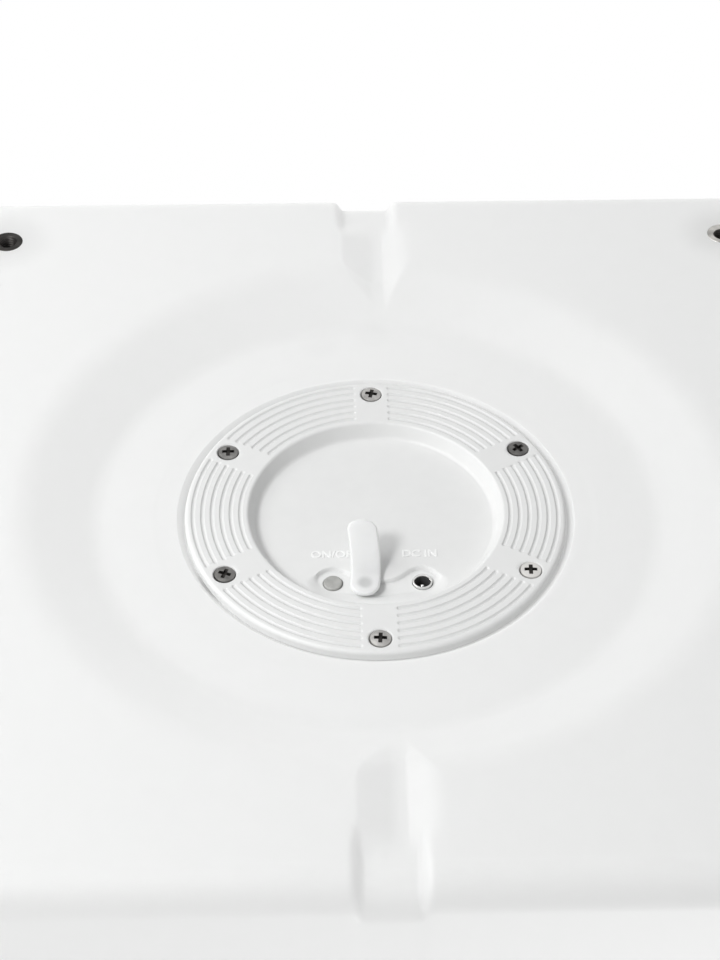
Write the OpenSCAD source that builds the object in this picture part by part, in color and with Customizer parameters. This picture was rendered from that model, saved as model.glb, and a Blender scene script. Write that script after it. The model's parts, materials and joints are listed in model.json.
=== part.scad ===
// Rechargeable light cube for outdoors, standing on its base.
// Origin at the middle of the base plane, +Z up, millimetres.
// The switch and the charging socket sit in the base, towards -Y.

/* [Cube] */
// Side length of the cube, seen from above
cube_w = 395; // [380:5:460]
// Height of the cube
cube_h = 395; // [200:5:500]
// Wall thickness of the moulded shell
wall = 4; // [3:0.25:4.75]
// Rounding of the base and top edges
edge_r = 13; // [10:1:20]
// How much larger the rounding of the upright corners is
corner_extra = 9; // [4:1:16]

/* [Base dish] */
// Radius of the flat floor of the dish
dish_floor_r = 110; // [102:1:116]
// Radius at which the slope of the dish meets the base
dish_rim_r = 149; // [144:1:156]
// Depth of the dish
dish_depth = 13.9; // [12:0.1:16]
// Radius of the hollow bend at the foot of the slope
dish_low_r = 18; // [12:1:22]
// Radius of the round bend at the rim of the slope
dish_high_r = 28; // [22:1:32]
// Depth of the seat of the light unit in the dish floor
seat_d = 3.1; // [2.6:0.1:3.6]
// Gap between the cover and the wall of its seat
seat_gap = 0.4; // [0.3:0.1:1]
// Gap around the light unit in the opening of the shell
opening_gap = 2.5; // [2:0.25:4]

/* [Base channels] */
// Half width of the flat floor of a channel
channel_floor = 9; // [7:0.5:10]
// Half width at which the sides of a channel meet the base
channel_rim = 15.2; // [14.4:0.1:18]
// Depth of a channel
channel_depth = 5; // [4:0.1:6]
// Radius of the hollow bend along the floor of a channel
channel_low_r = 2.5; // [1.5:0.1:3]
// Radius of the round bend along the rim of a channel
channel_high_r = 3.5; // [2:0.1:4]

/* [Corner inserts] */
// Distance between two inserts along one side
insert_pitch = 326; // [310:2:330]
// Radius of the insert body
insert_r = 6.2; // [5.5:0.1:7]
// Radius of the insert collar that shows in the base
insert_collar_r = 6.9; // [6.6:0.1:8]
// Thickness of that collar
insert_collar_t = 1.2; // [0.8:0.1:2]
// Length of the insert
insert_len = 18; // [14:1:24]
// Core radius of the thread in the insert
insert_bore_r = 3.4; // [3:0.1:4]
// Depth of the threaded hole
insert_bore_d = 15; // [10:1:16]
// Width of the chamfer at the mouth of the hole
insert_chamfer = 0.5; // [0.2:0.1:0.9]
// Plastic around an insert
insert_boss_t = 5; // [3:0.5:7]
// Radius of the shallow sink around an insert
sink_r = 15; // [12:0.5:18]
// Depth of that sink
sink_d = 0.5; // [0.2:0.1:1]

/* [Light unit cover] */
// Radius of the cover flange
flange_r = 80.8; // [79.6:0.2:83]
// Thickness of the flange
flange_t = 3.5; // [3.2:0.1:5]
// Width of the bevel along the flange edge
bevel_w = 3.4; // [2:0.2:3.6]
// Height of that bevel
bevel_h = 1.2; // [0.6:0.1:2]
// Thickness of the gasket under the flange
gasket_t = 0.8; // [0.5:0.1:1.5]
// Distance of the gasket edge from the flange edge
gasket_inset = 1.6; // [1:0.1:3]
// Thickness of the ring wall behind the flange
skirt_t = 2.6; // [2.2:0.1:3]
// Radius of the flat floor of the cup
cup_floor_r = 47.4; // [46:0.1:48]
// Radius at which the cup wall meets the flange
cup_rim_r = 52.8; // [52:0.1:53]
// Depth of the cup
cup_depth = 6; // [5:0.1:7]
// Radius of the hollow bend at the foot of the cup wall
cup_low_r = 2.2; // [1.5:0.1:2.5]
// Radius of the round bend at the rim of the cup
cup_high_r = 1.4; // [0.8:0.1:1.8]
// Thickness of the cup floor
cup_floor_t = 3.2; // [2.8:0.1:4]

/* [Grooves] */
// Grooves in each sector of the flange
groove_count = 6; // [3:1:6]
// Radius of the innermost groove
groove_first_r = 55; // [55:0.1:56]
// Distance from one groove to the next
groove_pitch = 3.85; // [3.4:0.05:3.9]
// Width of a groove
groove_w = 2; // [1.6:0.1:2.4]
// Depth of a groove
groove_d = 0.8; // [0.4:0.1:0.9]
// Width of the plain strip at each screw
strip_w = 13.4; // [12:0.2:16]

/* [Cover screws] */
// Number of screws around the flange
screw_count = 6; // [4:1:8]
// Radius of the screw circle
screw_circle_r = 70; // [69:0.25:71]
// Radius of the screw thread
screw_r = 1.95; // [1.7:0.05:2.2]
// Length of the screw below its head
screw_len = 12; // [10:0.5:12.5]
// Radius of the screw head
screw_head_r = 4.2; // [3.6:0.1:4.6]
// Height of the screw head
screw_head_h = 2; // [1.6:0.1:2.4]
// Depth of the seat of the head in the flange
screw_seat_d = 1.5; // [1:0.1:1.8]
// Radius of the threaded sleeve in the shell
sleeve_r = 3.5; // [3.1:0.1:4]
// Length of that sleeve
sleeve_len = 10; // [8:0.5:12]
// Plastic around a sleeve
sleeve_boss_t = 3; // [2:0.5:4]

/* [Controls] */
// Distance of the button and the socket from the middle line
control_x = 17.85; // [17:0.05:18.5]
// Distance of the button and the socket from the cube's axis, along Y
control_y = 34; // [33:0.1:34.5]
// Depth of the pocket that holds the controls
pocket_d = 1.5; // [1:0.1:1.8]
// Radius of the round ends of the pocket
pocket_r = 6.6; // [6.4:0.1:7.4]
// Inner radius of the bent middle part of the pocket
pocket_band_in = 33.5; // [33:0.1:34]
// Outer radius of the bent middle part of the pocket
pocket_band_out = 43; // [42:0.1:43.5]
// Radius of the button
button_r = 3.8; // [3.6:0.1:4.4]
// Height of the button above the pocket floor
button_proud = 0.9; // [0.5:0.1:1.3]
// Rounding of the button edge
button_edge_r = 0.5; // [0.2:0.1:0.8]
// Width of the collar that keeps the button in
button_collar = 1.2; // [0.8:0.1:1.6]
// Travel of the button
button_travel = 1.2; // [0.6:0.1:1.4]
// Outer radius of the socket sleeve
socket_r = 4; // [3.8:0.05:4.2]
// Radius of the socket hole
socket_bore_r = 3; // [2.8:0.05:3.1]
// Height of the socket sleeve above the pocket floor
socket_proud = 1; // [0.6:0.1:1.4]
// Radius of the centre pin of the socket
socket_pin_r = 1; // [0.8:0.05:1.2]
// Depth of the pin tip below the mouth of the socket
socket_pin_recess = 2.4; // [1:0.1:3]

/* [Socket seal] */
// Distance of the seal stud from the middle line
stud_x = 5.1; // [4.5:0.1:5.6]
// Distance of the seal stud from the cube's axis, along Y
stud_y = 37; // [36.5:0.1:37.5]
// Radius of the stud
stud_r = 2; // [1.6:0.1:2.2]
// Radius of the head that holds the stud behind the cover
stud_head_r = 3.2; // [2.8:0.1:3.4]
// Radius of the collar between the seal and the pocket floor
stud_collar_r = 3; // [2.6:0.1:3.4]
// Width of the seal strip
seal_w = 12; // [10:0.25:12.5]
// Thickness of the seal strip
seal_t = 2; // [1.6:0.1:2.2]
// Distance from the stud to the line where the seal folds
fold_reach = 6.5; // [6.3:0.1:7]
// Distance from the stud to the plug on the seal
plug_reach = 23.2; // [22:0.1:23.4]
// Radius of the plug
plug_r = 2.8; // [2.4:0.1:2.9]
// Length of the plug
plug_len = 3; // [2:0.1:3.2]
// Angle at which the open seal stands off the cup floor
fold_rest = 45; // [30:1:46]

/* [Electronics] */
// Height of the control board above the back of the cup
board_h = 9.1; // [9:0.1:9.6]
// Thickness of the circuit boards
board_t = 1.6; // [1:0.1:2]
// Radius of the control board
board_r = 44.6; // [44:0.1:45]
// Distance of the straight edge of the control board from the axis
board_edge = 16; // [15.9:0.1:17]
// Half width of the switch housing
switch_half = 3; // [2.6:0.1:3.6]
// Height of the switch housing
switch_h = 3.5; // [3:0.1:4]
// Radius of the switch plunger
plunger_r = 1.7; // [1.4:0.1:2]
// Radius of the socket housing behind the cover
socket_body_r = 5; // [4.8:0.1:5.4]
// Radius of a battery cell
cell_r = 9.2; // [9:0.05:9.3]
// Length of a battery cell
cell_len = 65; // [60:0.5:66]
// Thickness of the sleeve shrunk over the cells
wrap_t = 0.25; // [0.2:0.05:0.4]
// Distance of the battery from the cube's axis, along Y
battery_y = 10.4; // [10.2:0.1:10.8]
// Thickness of the foam under the battery
foam_t = 1; // [0.6:0.1:1.4]
// Thickness of the battery strap
strap_t = 1.2; // [1:0.1:1.4]
// Width of the battery strap
strap_w = 12; // [9:0.5:16]
// Radius of a lead
lead_r = 0.8; // [0.6:0.05:1]

/* [Lights] */
// Height of the light board above the back of the cup
led_h = 24.1; // [23.8:0.1:26]
// Distance from the light board to the top of the ring wall
led_sink = 4; // [3.6:0.1:5]
// Side of a light chip
chip_w = 5; // [3.5:0.25:5.5]
// Height of a light chip
chip_h = 1.4; // [1:0.1:1.6]
// Light chips on the inner ring
chips_inner = 8; // [4:1:10]
// Light chips on the outer ring
chips_outer = 16; // [8:1:18]
// Radius of the posts inside the cover
post_r = 4.2; // [4.1:0.05:4.4]
// Distance of the post circle from the foot of the dome
post_gap = 4.5; // [4.4:0.05:4.8]
// Distance of the post circle from the edge of the control board
post_room = 4.9; // [4.8:0.05:5.2]
// Distance of the ring wall behind the flange from the post circle
skirt_gap = 6.5; // [6:0.1:7]
// Outer radius of the dome at its foot
dome_r = 45; // [44:0.25:45.2]
// Height of the dome
dome_h = 29; // [24:0.5:34]
// Thickness of the dome
dome_t = 1.8; // [1.4:0.1:2.2]
// Thickness of the dome flange
dome_flange_t = 2.4; // [2:0.1:3]
// Radius of the section of the dome seal
ring_r = 0.6; // [0.4:0.05:0.7]

/* [Hidden] */
$fn = 96;

// Clearances and allowances
moulded_fit = 0.02;
screw_fit = 0.05;
loose_fit = 0.3;
seat_fit = 0.05;
cut = 1;
lip = 0.02;
bend_steps = 6;
bend_room = 0.98;

// Radii that follow from the driving sizes
corner_r = edge_r + corner_extra;
post_circle_r = max(dome_r + post_gap, board_r + post_room);
skirt_r = post_circle_r + skirt_gap;
opening_r = skirt_r + opening_gap;
seat_r = flange_r + seat_gap;
skirt_in_r = skirt_r - skirt_t;
insert_boss_r = insert_collar_r + insert_boss_t;
sleeve_boss_r = sleeve_r + sleeve_boss_t;

// Heights above the base plane
seat_z = dish_depth + seat_d;
flange_back_z = seat_z - gasket_t;
face_z = flange_back_z - flange_t;
cup_z = face_z + cup_depth;
pocket_z = cup_z + pocket_d;
back_z = cup_z + cup_floor_t;
board_z = back_z + board_h;
board_top_z = board_z + board_t;
led_z = back_z + led_h;
led_top_z = led_z + board_t;
skirt_top_z = led_z + led_sink;
sleeve_boss_z = seat_z + sleeve_len + sleeve_boss_t;

// Small self-tapping screws that hold the boards, the strap and the dome
small_r = 1.25;
small_head_r = 2.4;
small_head_h = 1.4;
small_len = 6;
small_hole_r = small_r + loose_fit;
board_post_r = 3.2;

// Screw heads: flatness of the crown, and the cross recess as parts of the head
crown_flat = 1.3;
cross_len = 1.16;
cross_w = 0.28;
cross_d = 0.65;
cross_turn = 20;

// Places of the control board screws and of the connectors on the board
board_posts = [[-37, -20.5], [37, -20.5], [-1.5, -41.2]];
plug_w = 6;
plug_d = 5;
plug_h = 5;
led_plug = [-12, -21];
battery_plug = [12, -21];
lead_pitch = 2;

// Parts on the control board
driver_size = [10, 6, 1.6];
coil_r = 3.5;
coil_h = 4;
capacitor_r = 3;
capacitor_h = 8;
parts_x = 24;
parts_y = 31;

// Battery and its strap
wrap_r = cell_r + seat_fit + wrap_t;
cell_step = cell_r + seat_fit;
battery_z = back_z + foam_t + wrap_r;
battery_front = battery_y - cell_step - wrap_r;
battery_back = battery_y + cell_step + wrap_r;
strap_front = battery_front - seat_fit - strap_t;
strap_back = battery_back + seat_fit + strap_t;
strap_foot = 6;
strap_post_h = 6;
strap_post_r = 2.6;
strap_foot_z = back_z + strap_post_h;
strap_top_z = battery_z + wrap_r + seat_fit;

// Seal: the pad lies just off the cup floor and the strip folds about a line beyond the stud
pad_back_z = cup_z - loose_fit;
pad_mid_z = pad_back_z - seal_t / 2;
pad_face_z = pad_back_z - seal_t;
fold_y = -stud_y + fold_reach;
fold_gap = seal_t / 2 + loose_fit;
dimple_r = 3;
dimple_d = 0.5;

// Button and switch
button_face_z = pocket_z - button_proud;
button_collar_z = back_z + loose_fit;
button_collar_t = 1;
switch_z = board_z - switch_h;
plunger_in = 0.6;
plunger_room = 0.2;
plunger_z = switch_z - button_travel - plunger_room - loose_fit;

// Socket
socket_face_z = pocket_z - socket_proud;
socket_end_z = board_z - board_t;

// Dome
dome_rise = dome_h - dome_flange_t;
dome_ball_r = (dome_r * dome_r + dome_rise * dome_rise) / (2 * dome_rise);
dome_flange_r = skirt_r + loose_fit;
dome_flange_in = dome_r - dome_t;

// Rings of light chips under the dome
chip_ring_in = 0.4 * dome_r;
chip_ring_out = 0.8 * dome_r;

// Direction of the slope between the two bends of a recess, as an angle from the horizontal
function slope_normal(run, depth, low_r, high_r) =
    let (rise = low_r + high_r - depth)
    atan2(rise, run) + acos((low_r + high_r) / norm([run, rise]));

// Share of the two bends of a recess that finds room between its floor and its rim
function bend_share(run, depth, low_r, high_r) =
    min(1, bend_room * (run * run + depth * depth) / (2 * depth * (low_r + high_r)));

function polar(r, a) = [r * cos(a), r * sin(a)];

// Points along an arc about c
function bend(c, r, from, to) =
    [for (k = [0 : bend_steps]) c + polar(r, from + (to - from) * k / bend_steps)];

// Quarter of a disc in the corner between +X and +Y
module quarter_disc(r) {
    intersection() {
        circle(r);
        square(r + cut);
    }
}

// Half section of a recess: flat floor, hollow bend, slope and round bend at the rim.
// The round bend dips a little below the face, so that it leaves the face at a clean edge.
// grow moves the section outwards, for the wall behind the recess.
module recess_section(floor, rim, depth, low_r, high_r, grow = 0) {
    share = bend_share(rim - floor, depth + lip, low_r, high_r);
    low = share * low_r;
    high = share * high_r;
    turn = slope_normal(rim - floor, depth + lip, low, high);
    low_c = [floor, depth - low];
    high_c = [rim, high - lip];
    low_g = low + grow;
    high_g = max(high - grow, seat_fit);
    difference() {
        polygon([
            [0, -cut], [rim, -cut], [rim, high_c.y - high_g], high_c - polar(high_g, turn),
            low_c + polar(low_g, turn), [floor, depth + grow], [0, depth + grow]
        ]);
        translate(high_c) circle(high_g);
    }
    intersection() {
        translate(low_c) circle(low_g);
        polygon([
            low_c, low_c + [0, 2 * low_g], low_c + polar(2 * low_g, (90 + turn) / 2),
            low_c + polar(2 * low_g, turn)
        ]);
    }
}

// Upright block with rounded edges and larger rounded corners, made of parts that meet on flat faces
module soft_block(w, h, er, vr) {
    a = w / 2 - vr;
    rotate([90, 0, 90]) linear_extrude(2 * a, center = true) soft_rect(w, h, er);
    for (s = [0, 180]) rotate(s) translate([a, a, 0]) {
        rotate([90, 0, 0]) linear_extrude(2 * a) soft_side(vr, h, er);
        rotate_extrude(angle = 90) soft_side(vr, h, er);
    }
    for (s = [90, 270]) rotate(s) translate([a, a, 0])
        rotate_extrude(angle = 90) soft_side(vr, h, er);
}

// Rectangle on the X axis with four rounded corners
module soft_rect(w, h, r) {
    translate([-w / 2 + r, 0]) square([w - 2 * r, h]);
    for (m = [0, 1]) mirror([m, 0]) translate([w / 2 - r, 0]) soft_side(r, h, r);
}

// Strip from the Y axis to w, with the two far corners rounded
module soft_side(w, h, r) {
    if (w > r) square([w - r, h]);
    translate([w - r, r]) square([r, h - 2 * r]);
    translate([w - r, h - r]) quarter_disc(r);
    translate([w - r, r]) mirror([0, 1]) quarter_disc(r);
}

// Places that repeat around the axis
module around(count, r, first = 0) {
    for (i = [0 : count - 1]) rotate(first + i * 360 / count) translate([r, 0, 0]) children();
}

module at_corners() {
    for (x = [-1, 1], y = [-1, 1]) translate([x, y, 0] * insert_pitch / 2) children();
}

module at_screws() {
    around(screw_count, screw_circle_r, 90) children();
}

module at_led_posts() {
    around(4, post_circle_r, 45) children();
}

module at_dome_posts() {
    around(4, post_circle_r) children();
}

module at_board_posts() {
    for (p = board_posts) translate(p) children();
}

module at_strap_posts() {
    for (y = [strap_front - strap_foot / 2, strap_back + strap_foot / 2]) translate([0, y, 0]) children();
}

module dish(grow = 0) {
    rotate_extrude() recess_section(dish_floor_r, dish_rim_r, dish_depth, dish_low_r, dish_high_r, grow);
}

// Cross-section of a channel, with its bends as arcs of short chords
module channel_section(grow) {
    run = channel_rim - channel_floor;
    share = bend_share(run, channel_depth + lip, channel_low_r, channel_high_r);
    low = share * channel_low_r;
    high = share * channel_high_r;
    turn = slope_normal(run, channel_depth + lip, low, high);
    low_c = [channel_floor, channel_depth - low];
    high_c = [channel_rim, high - lip];
    side = concat(
        [[channel_rim, -cut]],
        bend(high_c, max(high - grow, seat_fit), 270, 180 + turn),
        bend(low_c, low + grow, turn, 90)
    );
    polygon(concat(side, [for (k = [len(side) - 1 : -1 : 0]) [-side[k].x, side[k].y]]));
}

// Channel from the foot of the dish to the side of the cube, one at each end of Y.
// Its end bends like the base edge, and runs out in the side a little before the bend ends.
module channels(grow = 0) {
    end = cube_w / 2 - edge_r;
    turn_r = channel_depth + edge_r + lip;
    for (s = [0, 180]) rotate(s) {
        translate([0, -dish_floor_r, 0]) rotate([90, 0, 0])
            linear_extrude(end - dish_floor_r) channel_section(grow);
        translate([0, -end, turn_r]) rotate([180, 90, 0]) rotate_extrude(angle = 90)
            translate([turn_r, 0]) rotate(90) channel_section(grow);
    }
}

// Hollow of the cube, less the walls of the dish, the seat and the channels and the bosses for the threads
module shell_hollow() {
    difference() {
        translate([0, 0, wall])
            soft_block(cube_w - 2 * wall, cube_h - 2 * wall, edge_r - wall, corner_r - wall);
        dish(wall);
        channels(wall);
        cylinder(h = seat_z + wall, r = seat_r + wall);
        at_corners() cylinder(h = insert_len + wall, r = insert_boss_r);
        at_screws() cylinder(h = sleeve_boss_z, r = sleeve_boss_r);
    }
}

module shell() {
    color("whitesmoke") difference() {
        soft_block(cube_w, cube_h, edge_r, corner_r);
        shell_hollow();
        dish();
        channels();
        translate([0, 0, dish_depth - cut]) cylinder(h = seat_d + cut, r = seat_r);
        translate([0, 0, dish_depth]) cylinder(h = seat_d + wall + cut, r = opening_r);
        at_corners() insert_hole();
        at_screws() translate([0, 0, seat_z - cut])
            cylinder(h = sleeve_len + cut + moulded_fit, r = sleeve_r + moulded_fit);
    }
}

// Seat of a corner insert, with the shallow sink of the plastic around it
module insert_hole() {
    translate([0, 0, -cut]) cylinder(h = sink_d + insert_len + cut + moulded_fit, r = insert_r + moulded_fit);
    translate([0, 0, -cut])
        cylinder(h = sink_d + insert_collar_t + cut + moulded_fit, r = insert_collar_r + moulded_fit);
    cylinder(h = sink_d, r1 = sink_r, r2 = insert_collar_r);
}

module corner_inserts() {
    color("dimgray") at_corners() translate([0, 0, sink_d]) difference() {
        union() {
            cylinder(h = insert_len, r = insert_r);
            cylinder(h = insert_collar_t, r = insert_collar_r);
        }
        translate([0, 0, -cut]) cylinder(h = insert_bore_d + cut, r = insert_bore_r);
        cylinder(h = insert_chamfer, r1 = insert_bore_r + insert_chamfer, r2 = insert_bore_r);
    }
}

module screw_sleeves() {
    color("darkgoldenrod") at_screws() translate([0, 0, seat_z]) difference() {
        cylinder(h = sleeve_len, r = sleeve_r);
        translate([0, 0, -cut]) cylinder(h = sleeve_len + 2 * cut, r = screw_r + screw_fit);
    }
}

module flange_gasket() {
    color("gray") translate([0, 0, flange_back_z]) difference() {
        cylinder(h = gasket_t, r = flange_r - gasket_inset);
        translate([0, 0, -cut]) cylinder(h = gasket_t + 2 * cut, r = opening_r);
        at_screws() translate([0, 0, -cut]) cylinder(h = gasket_t + 2 * cut, r = screw_r + loose_fit);
    }
}

// One ring sector of a groove with a round floor, between two plain strips
module groove(r) {
    ball = (groove_w * groove_w / 4 + groove_d * groove_d) / (2 * groove_d);
    sector = 360 / screw_count;
    margin = asin(strip_w / 2 / r);
    rotate(90 + margin) rotate_extrude(angle = sector - 2 * margin)
        translate([r, face_z + groove_d - ball]) circle(ball);
}

// Outline of the pocket: a round end at each control, joined by a band bent around the axis
module pocket_outline() {
    reach = atan2(control_x, control_y);
    for (x = [-1, 1]) translate([x * control_x, -control_y]) circle(pocket_r);
    intersection() {
        difference() {
            circle(pocket_band_out);
            circle(pocket_band_in);
        }
        polygon([[0, 0], polar(2 * pocket_band_out, -90 - reach), polar(2 * pocket_band_out, -90 + reach)]);
    }
}

// Flange, cup and ring wall in one turned section
module cover_body() {
    translate([0, 0, face_z]) rotate_extrude() difference() {
        union() {
            polygon([
                [0, 0], [flange_r - bevel_w, 0], [flange_r, bevel_h], [flange_r, flange_t], [0, flange_t]
            ]);
            translate([0, flange_t]) square([skirt_r, back_z - flange_back_z]);
            translate([skirt_in_r, flange_t]) square([skirt_t, skirt_top_z - flange_back_z]);
        }
        recess_section(cup_floor_r, cup_rim_r, cup_depth, cup_low_r, cup_high_r);
    }
}

module post(h, r) {
    translate([0, 0, back_z - cut]) cylinder(h = h + cut, r = r);
}

module pilot(top) {
    translate([0, 0, top - small_len - cut]) cylinder(h = small_len + 2 * cut, r = small_r + screw_fit);
}

module led_cover() {
    color("white") difference() {
        union() {
            cover_body();
            intersection() {
                union() {
                    at_led_posts() post(led_h, post_r);
                    at_dome_posts() post(led_h + led_sink, post_r);
                }
                cylinder(h = skirt_top_z, r = skirt_in_r + skirt_t / 2);
            }
            at_board_posts() post(board_h, board_post_r);
            at_strap_posts() post(strap_post_h, strap_post_r);
        }
        for (i = [0 : screw_count - 1], k = [0 : groove_count - 1])
            rotate(i * 360 / screw_count) groove(groove_first_r + k * groove_pitch);
        at_screws() translate([0, 0, face_z - cut]) {
            cylinder(h = flange_t + 2 * cut, r = screw_r + loose_fit);
            cylinder(h = screw_seat_d + cut, r = screw_head_r + loose_fit);
        }
        translate([0, 0, cup_z - cut]) linear_extrude(pocket_d + cut) pocket_outline();
        translate([control_x, -control_y, cup_z]) cylinder(h = cup_floor_t + cut, r = button_r + loose_fit);
        translate([-control_x, -control_y, cup_z]) cylinder(h = cup_floor_t + cut, r = socket_r + loose_fit);
        translate([stud_x, -stud_y, cup_z]) cylinder(h = cup_floor_t + cut, r = stud_r + loose_fit);
        translate([0, 0, skirt_top_z - 2 * ring_r - seat_fit]) rotate_extrude()
            translate([skirt_in_r + skirt_t / 2 - ring_r - seat_fit, 0])
                square([2 * (ring_r + seat_fit), 2 * ring_r + cut]);
        at_led_posts() pilot(led_z);
        at_dome_posts() pilot(skirt_top_z);
        at_board_posts() pilot(board_z);
        at_strap_posts() pilot(strap_foot_z);
    }
}

// Pan head screw that points up, with its head below z = 0 and a cross recess in the head
module pan_screw(r, len, head_r, head_h, turn = 0) {
    ball = crown_flat * (head_r * head_r + head_h * head_h) / (2 * head_h);
    cross = [cross_len * head_r, cross_w * head_r, 2 * cross_d * head_h];
    cylinder(h = len, r = r);
    difference() {
        intersection() {
            translate([0, 0, -head_h]) cylinder(h = head_h, r = head_r);
            translate([0, 0, ball - head_h]) sphere(ball);
        }
        rotate(turn) for (a = [0, 90]) rotate(a) translate([0, 0, -head_h]) cube(cross, center = true);
    }
}

module flange_screws() {
    color("silver") for (i = [0 : screw_count - 1])
        rotate(90 + i * 360 / screw_count) translate([screw_circle_r, 0, face_z + screw_seat_d])
            pan_screw(screw_r, screw_len, screw_head_r, screw_head_h, cross_turn * i);
}

// Small screw that points down, with the underside of its head at the given height
module small_screw(z) {
    translate([0, 0, z]) mirror([0, 0, 1])
        pan_screw(small_r, small_len - screw_fit, small_head_r, small_head_h);
}

// Button with a rounded edge, a collar behind the cover and a stem to the switch
module button_cap() {
    color("darkgray") translate([control_x, -control_y, 0]) {
        translate([0, 0, button_face_z]) rotate_extrude() {
            square([button_r - button_edge_r, button_collar_z - button_face_z]);
            translate([button_r - button_edge_r, button_edge_r]) {
                square([button_edge_r, button_collar_z - button_face_z - button_edge_r]);
                mirror([0, 1]) quarter_disc(button_edge_r);
            }
        }
        translate([0, 0, button_collar_z]) cylinder(h = button_collar_t, r = button_r + button_collar);
        translate([0, 0, button_collar_z]) cylinder(h = plunger_z - button_collar_z, r = plunger_r);
    }
}

module switch_plunger() {
    color("black") translate([control_x, -control_y, plunger_z])
        cylinder(h = switch_z + plunger_in - plunger_z, r = plunger_r);
}

module switch_body() {
    room = plunger_in + button_travel + plunger_room;
    color("dimgray") translate([control_x, -control_y, switch_z]) difference() {
        translate([-switch_half, -switch_half, 0]) cube([2 * switch_half, 2 * switch_half, switch_h]);
        translate([0, 0, -cut]) cylinder(h = room + cut, r = plunger_r + loose_fit);
    }
}

module socket_sleeve() {
    color("lightgray") translate([-control_x, -control_y, socket_face_z]) difference() {
        cylinder(h = socket_end_z - socket_face_z, r = socket_r);
        translate([0, 0, -cut]) cylinder(h = socket_end_z - socket_face_z + 2 * cut, r = socket_bore_r);
    }
}

module socket_pin() {
    tip_z = socket_face_z + socket_pin_recess;
    color("silver") translate([-control_x, -control_y, tip_z])
        cylinder(h = board_z - tip_z, r = socket_pin_r);
}

// Housing behind the cover that holds the sleeve and the pin
module socket_body() {
    color("black") translate([-control_x, -control_y, 0]) difference() {
        translate([0, 0, back_z + seat_fit]) cylinder(h = board_h - seat_fit, r = socket_body_r);
        translate([0, 0, back_z]) cylinder(h = socket_end_z - back_z, r = socket_r + moulded_fit);
        translate([0, 0, back_z]) cylinder(h = board_h + cut, r = socket_pin_r + moulded_fit);
    }
}

// Outline of the seal's pad: round about the stud, and cut off short of the line where the strip folds
module pad_outline() {
    intersection() {
        union() {
            circle(seal_w / 2);
            translate([-seal_w / 2, 0]) square([seal_w, fold_reach]);
        }
        translate([-seal_w, fold_reach - fold_gap - 2 * seal_w]) square(2 * seal_w);
    }
}

// Pad of the seal with the stud that buttons it into the cover
module seal_anchor() {
    color("gainsboro") translate([stud_x, -stud_y, 0]) difference() {
        union() {
            translate([0, 0, pad_face_z]) linear_extrude(seal_t) pad_outline();
            translate([0, 0, pad_back_z]) cylinder(h = pocket_d, r = stud_collar_r);
            translate([0, 0, pad_back_z]) cylinder(h = back_z + loose_fit - pad_back_z, r = stud_r);
            translate([0, 0, back_z + loose_fit]) cylinder(h = seal_t, r1 = stud_head_r, r2 = stud_r);
        }
        translate([0, 0, pad_face_z]) cylinder(h = dimple_d, r1 = dimple_r, r2 = dimple_r - dimple_d);
    }
}

// Free strip of the seal with its plug, standing open
module seal_flap() {
    reach = plug_reach - fold_reach;
    color("gainsboro") translate([stud_x, fold_y, pad_mid_z]) rotate([-fold_rest, 0, 0]) {
        rotate([0, 90, 0]) cylinder(h = seal_w, r = seal_t / 2, center = true);
        translate([-seal_w / 2, 0, -seal_t / 2]) cube([seal_w, reach, seal_t]);
        translate([0, reach, -seal_t / 2]) cylinder(h = seal_t, r = seal_w / 2);
        translate([0, reach, 0]) cylinder(h = seal_t / 2 + plug_len, r = plug_r);
    }
}

module control_board() {
    color("darkgreen") translate([0, 0, board_z]) difference() {
        linear_extrude(board_t) intersection() {
            circle(board_r);
            translate([-board_r, -board_r - cut]) square([2 * board_r, board_r + cut - board_edge]);
        }
        at_board_posts() translate([0, 0, -cut]) cylinder(h = board_t + 2 * cut, r = small_hole_r);
    }
}

// Driver chip, coil and capacitor on the control board
module control_parts() {
    color("black") translate([0, 0, board_top_z]) {
        translate([0, -parts_y, driver_size.z / 2]) cube(driver_size, center = true);
        translate([parts_x, -parts_y, 0]) cylinder(h = coil_h, r = coil_r);
        translate([-parts_x, -parts_y, 0]) cylinder(h = capacitor_h, r = capacitor_r);
    }
}

module control_screws() {
    color("silver") at_board_posts() small_screw(board_top_z);
}

module at_cells() {
    for (s = [-1, 1]) translate([0, battery_y + s * cell_step, battery_z]) rotate([0, 90, 0]) children();
}

module battery_cells() {
    color("steelblue") at_cells() cylinder(h = cell_len, r = cell_r, center = true);
}

// Section of the wrap: two half discs and the square between them
module wrap_section(r) {
    translate([-r, -cell_step]) square([2 * r, 2 * cell_step]);
    for (m = [0, 1]) mirror([0, m]) translate([0, cell_step]) intersection() {
        circle(r);
        translate([-r - cut, 0]) square([2 * (r + cut), r + cut]);
    }
}

module battery_wrap() {
    color("royalblue") translate([0, battery_y, battery_z]) rotate([0, 90, 0])
        linear_extrude(cell_len + 2 * wrap_t, center = true) difference() {
            wrap_section(wrap_r);
            wrap_section(wrap_r - wrap_t);
        }
}

module battery_foam() {
    color("dimgray") for (x = [-1, 1])
        translate([x * cell_len / 3 - strap_w / 2, battery_y - cell_step - cell_r / 2, back_z])
            cube([strap_w, 2 * cell_step + cell_r, foam_t]);
}

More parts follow.
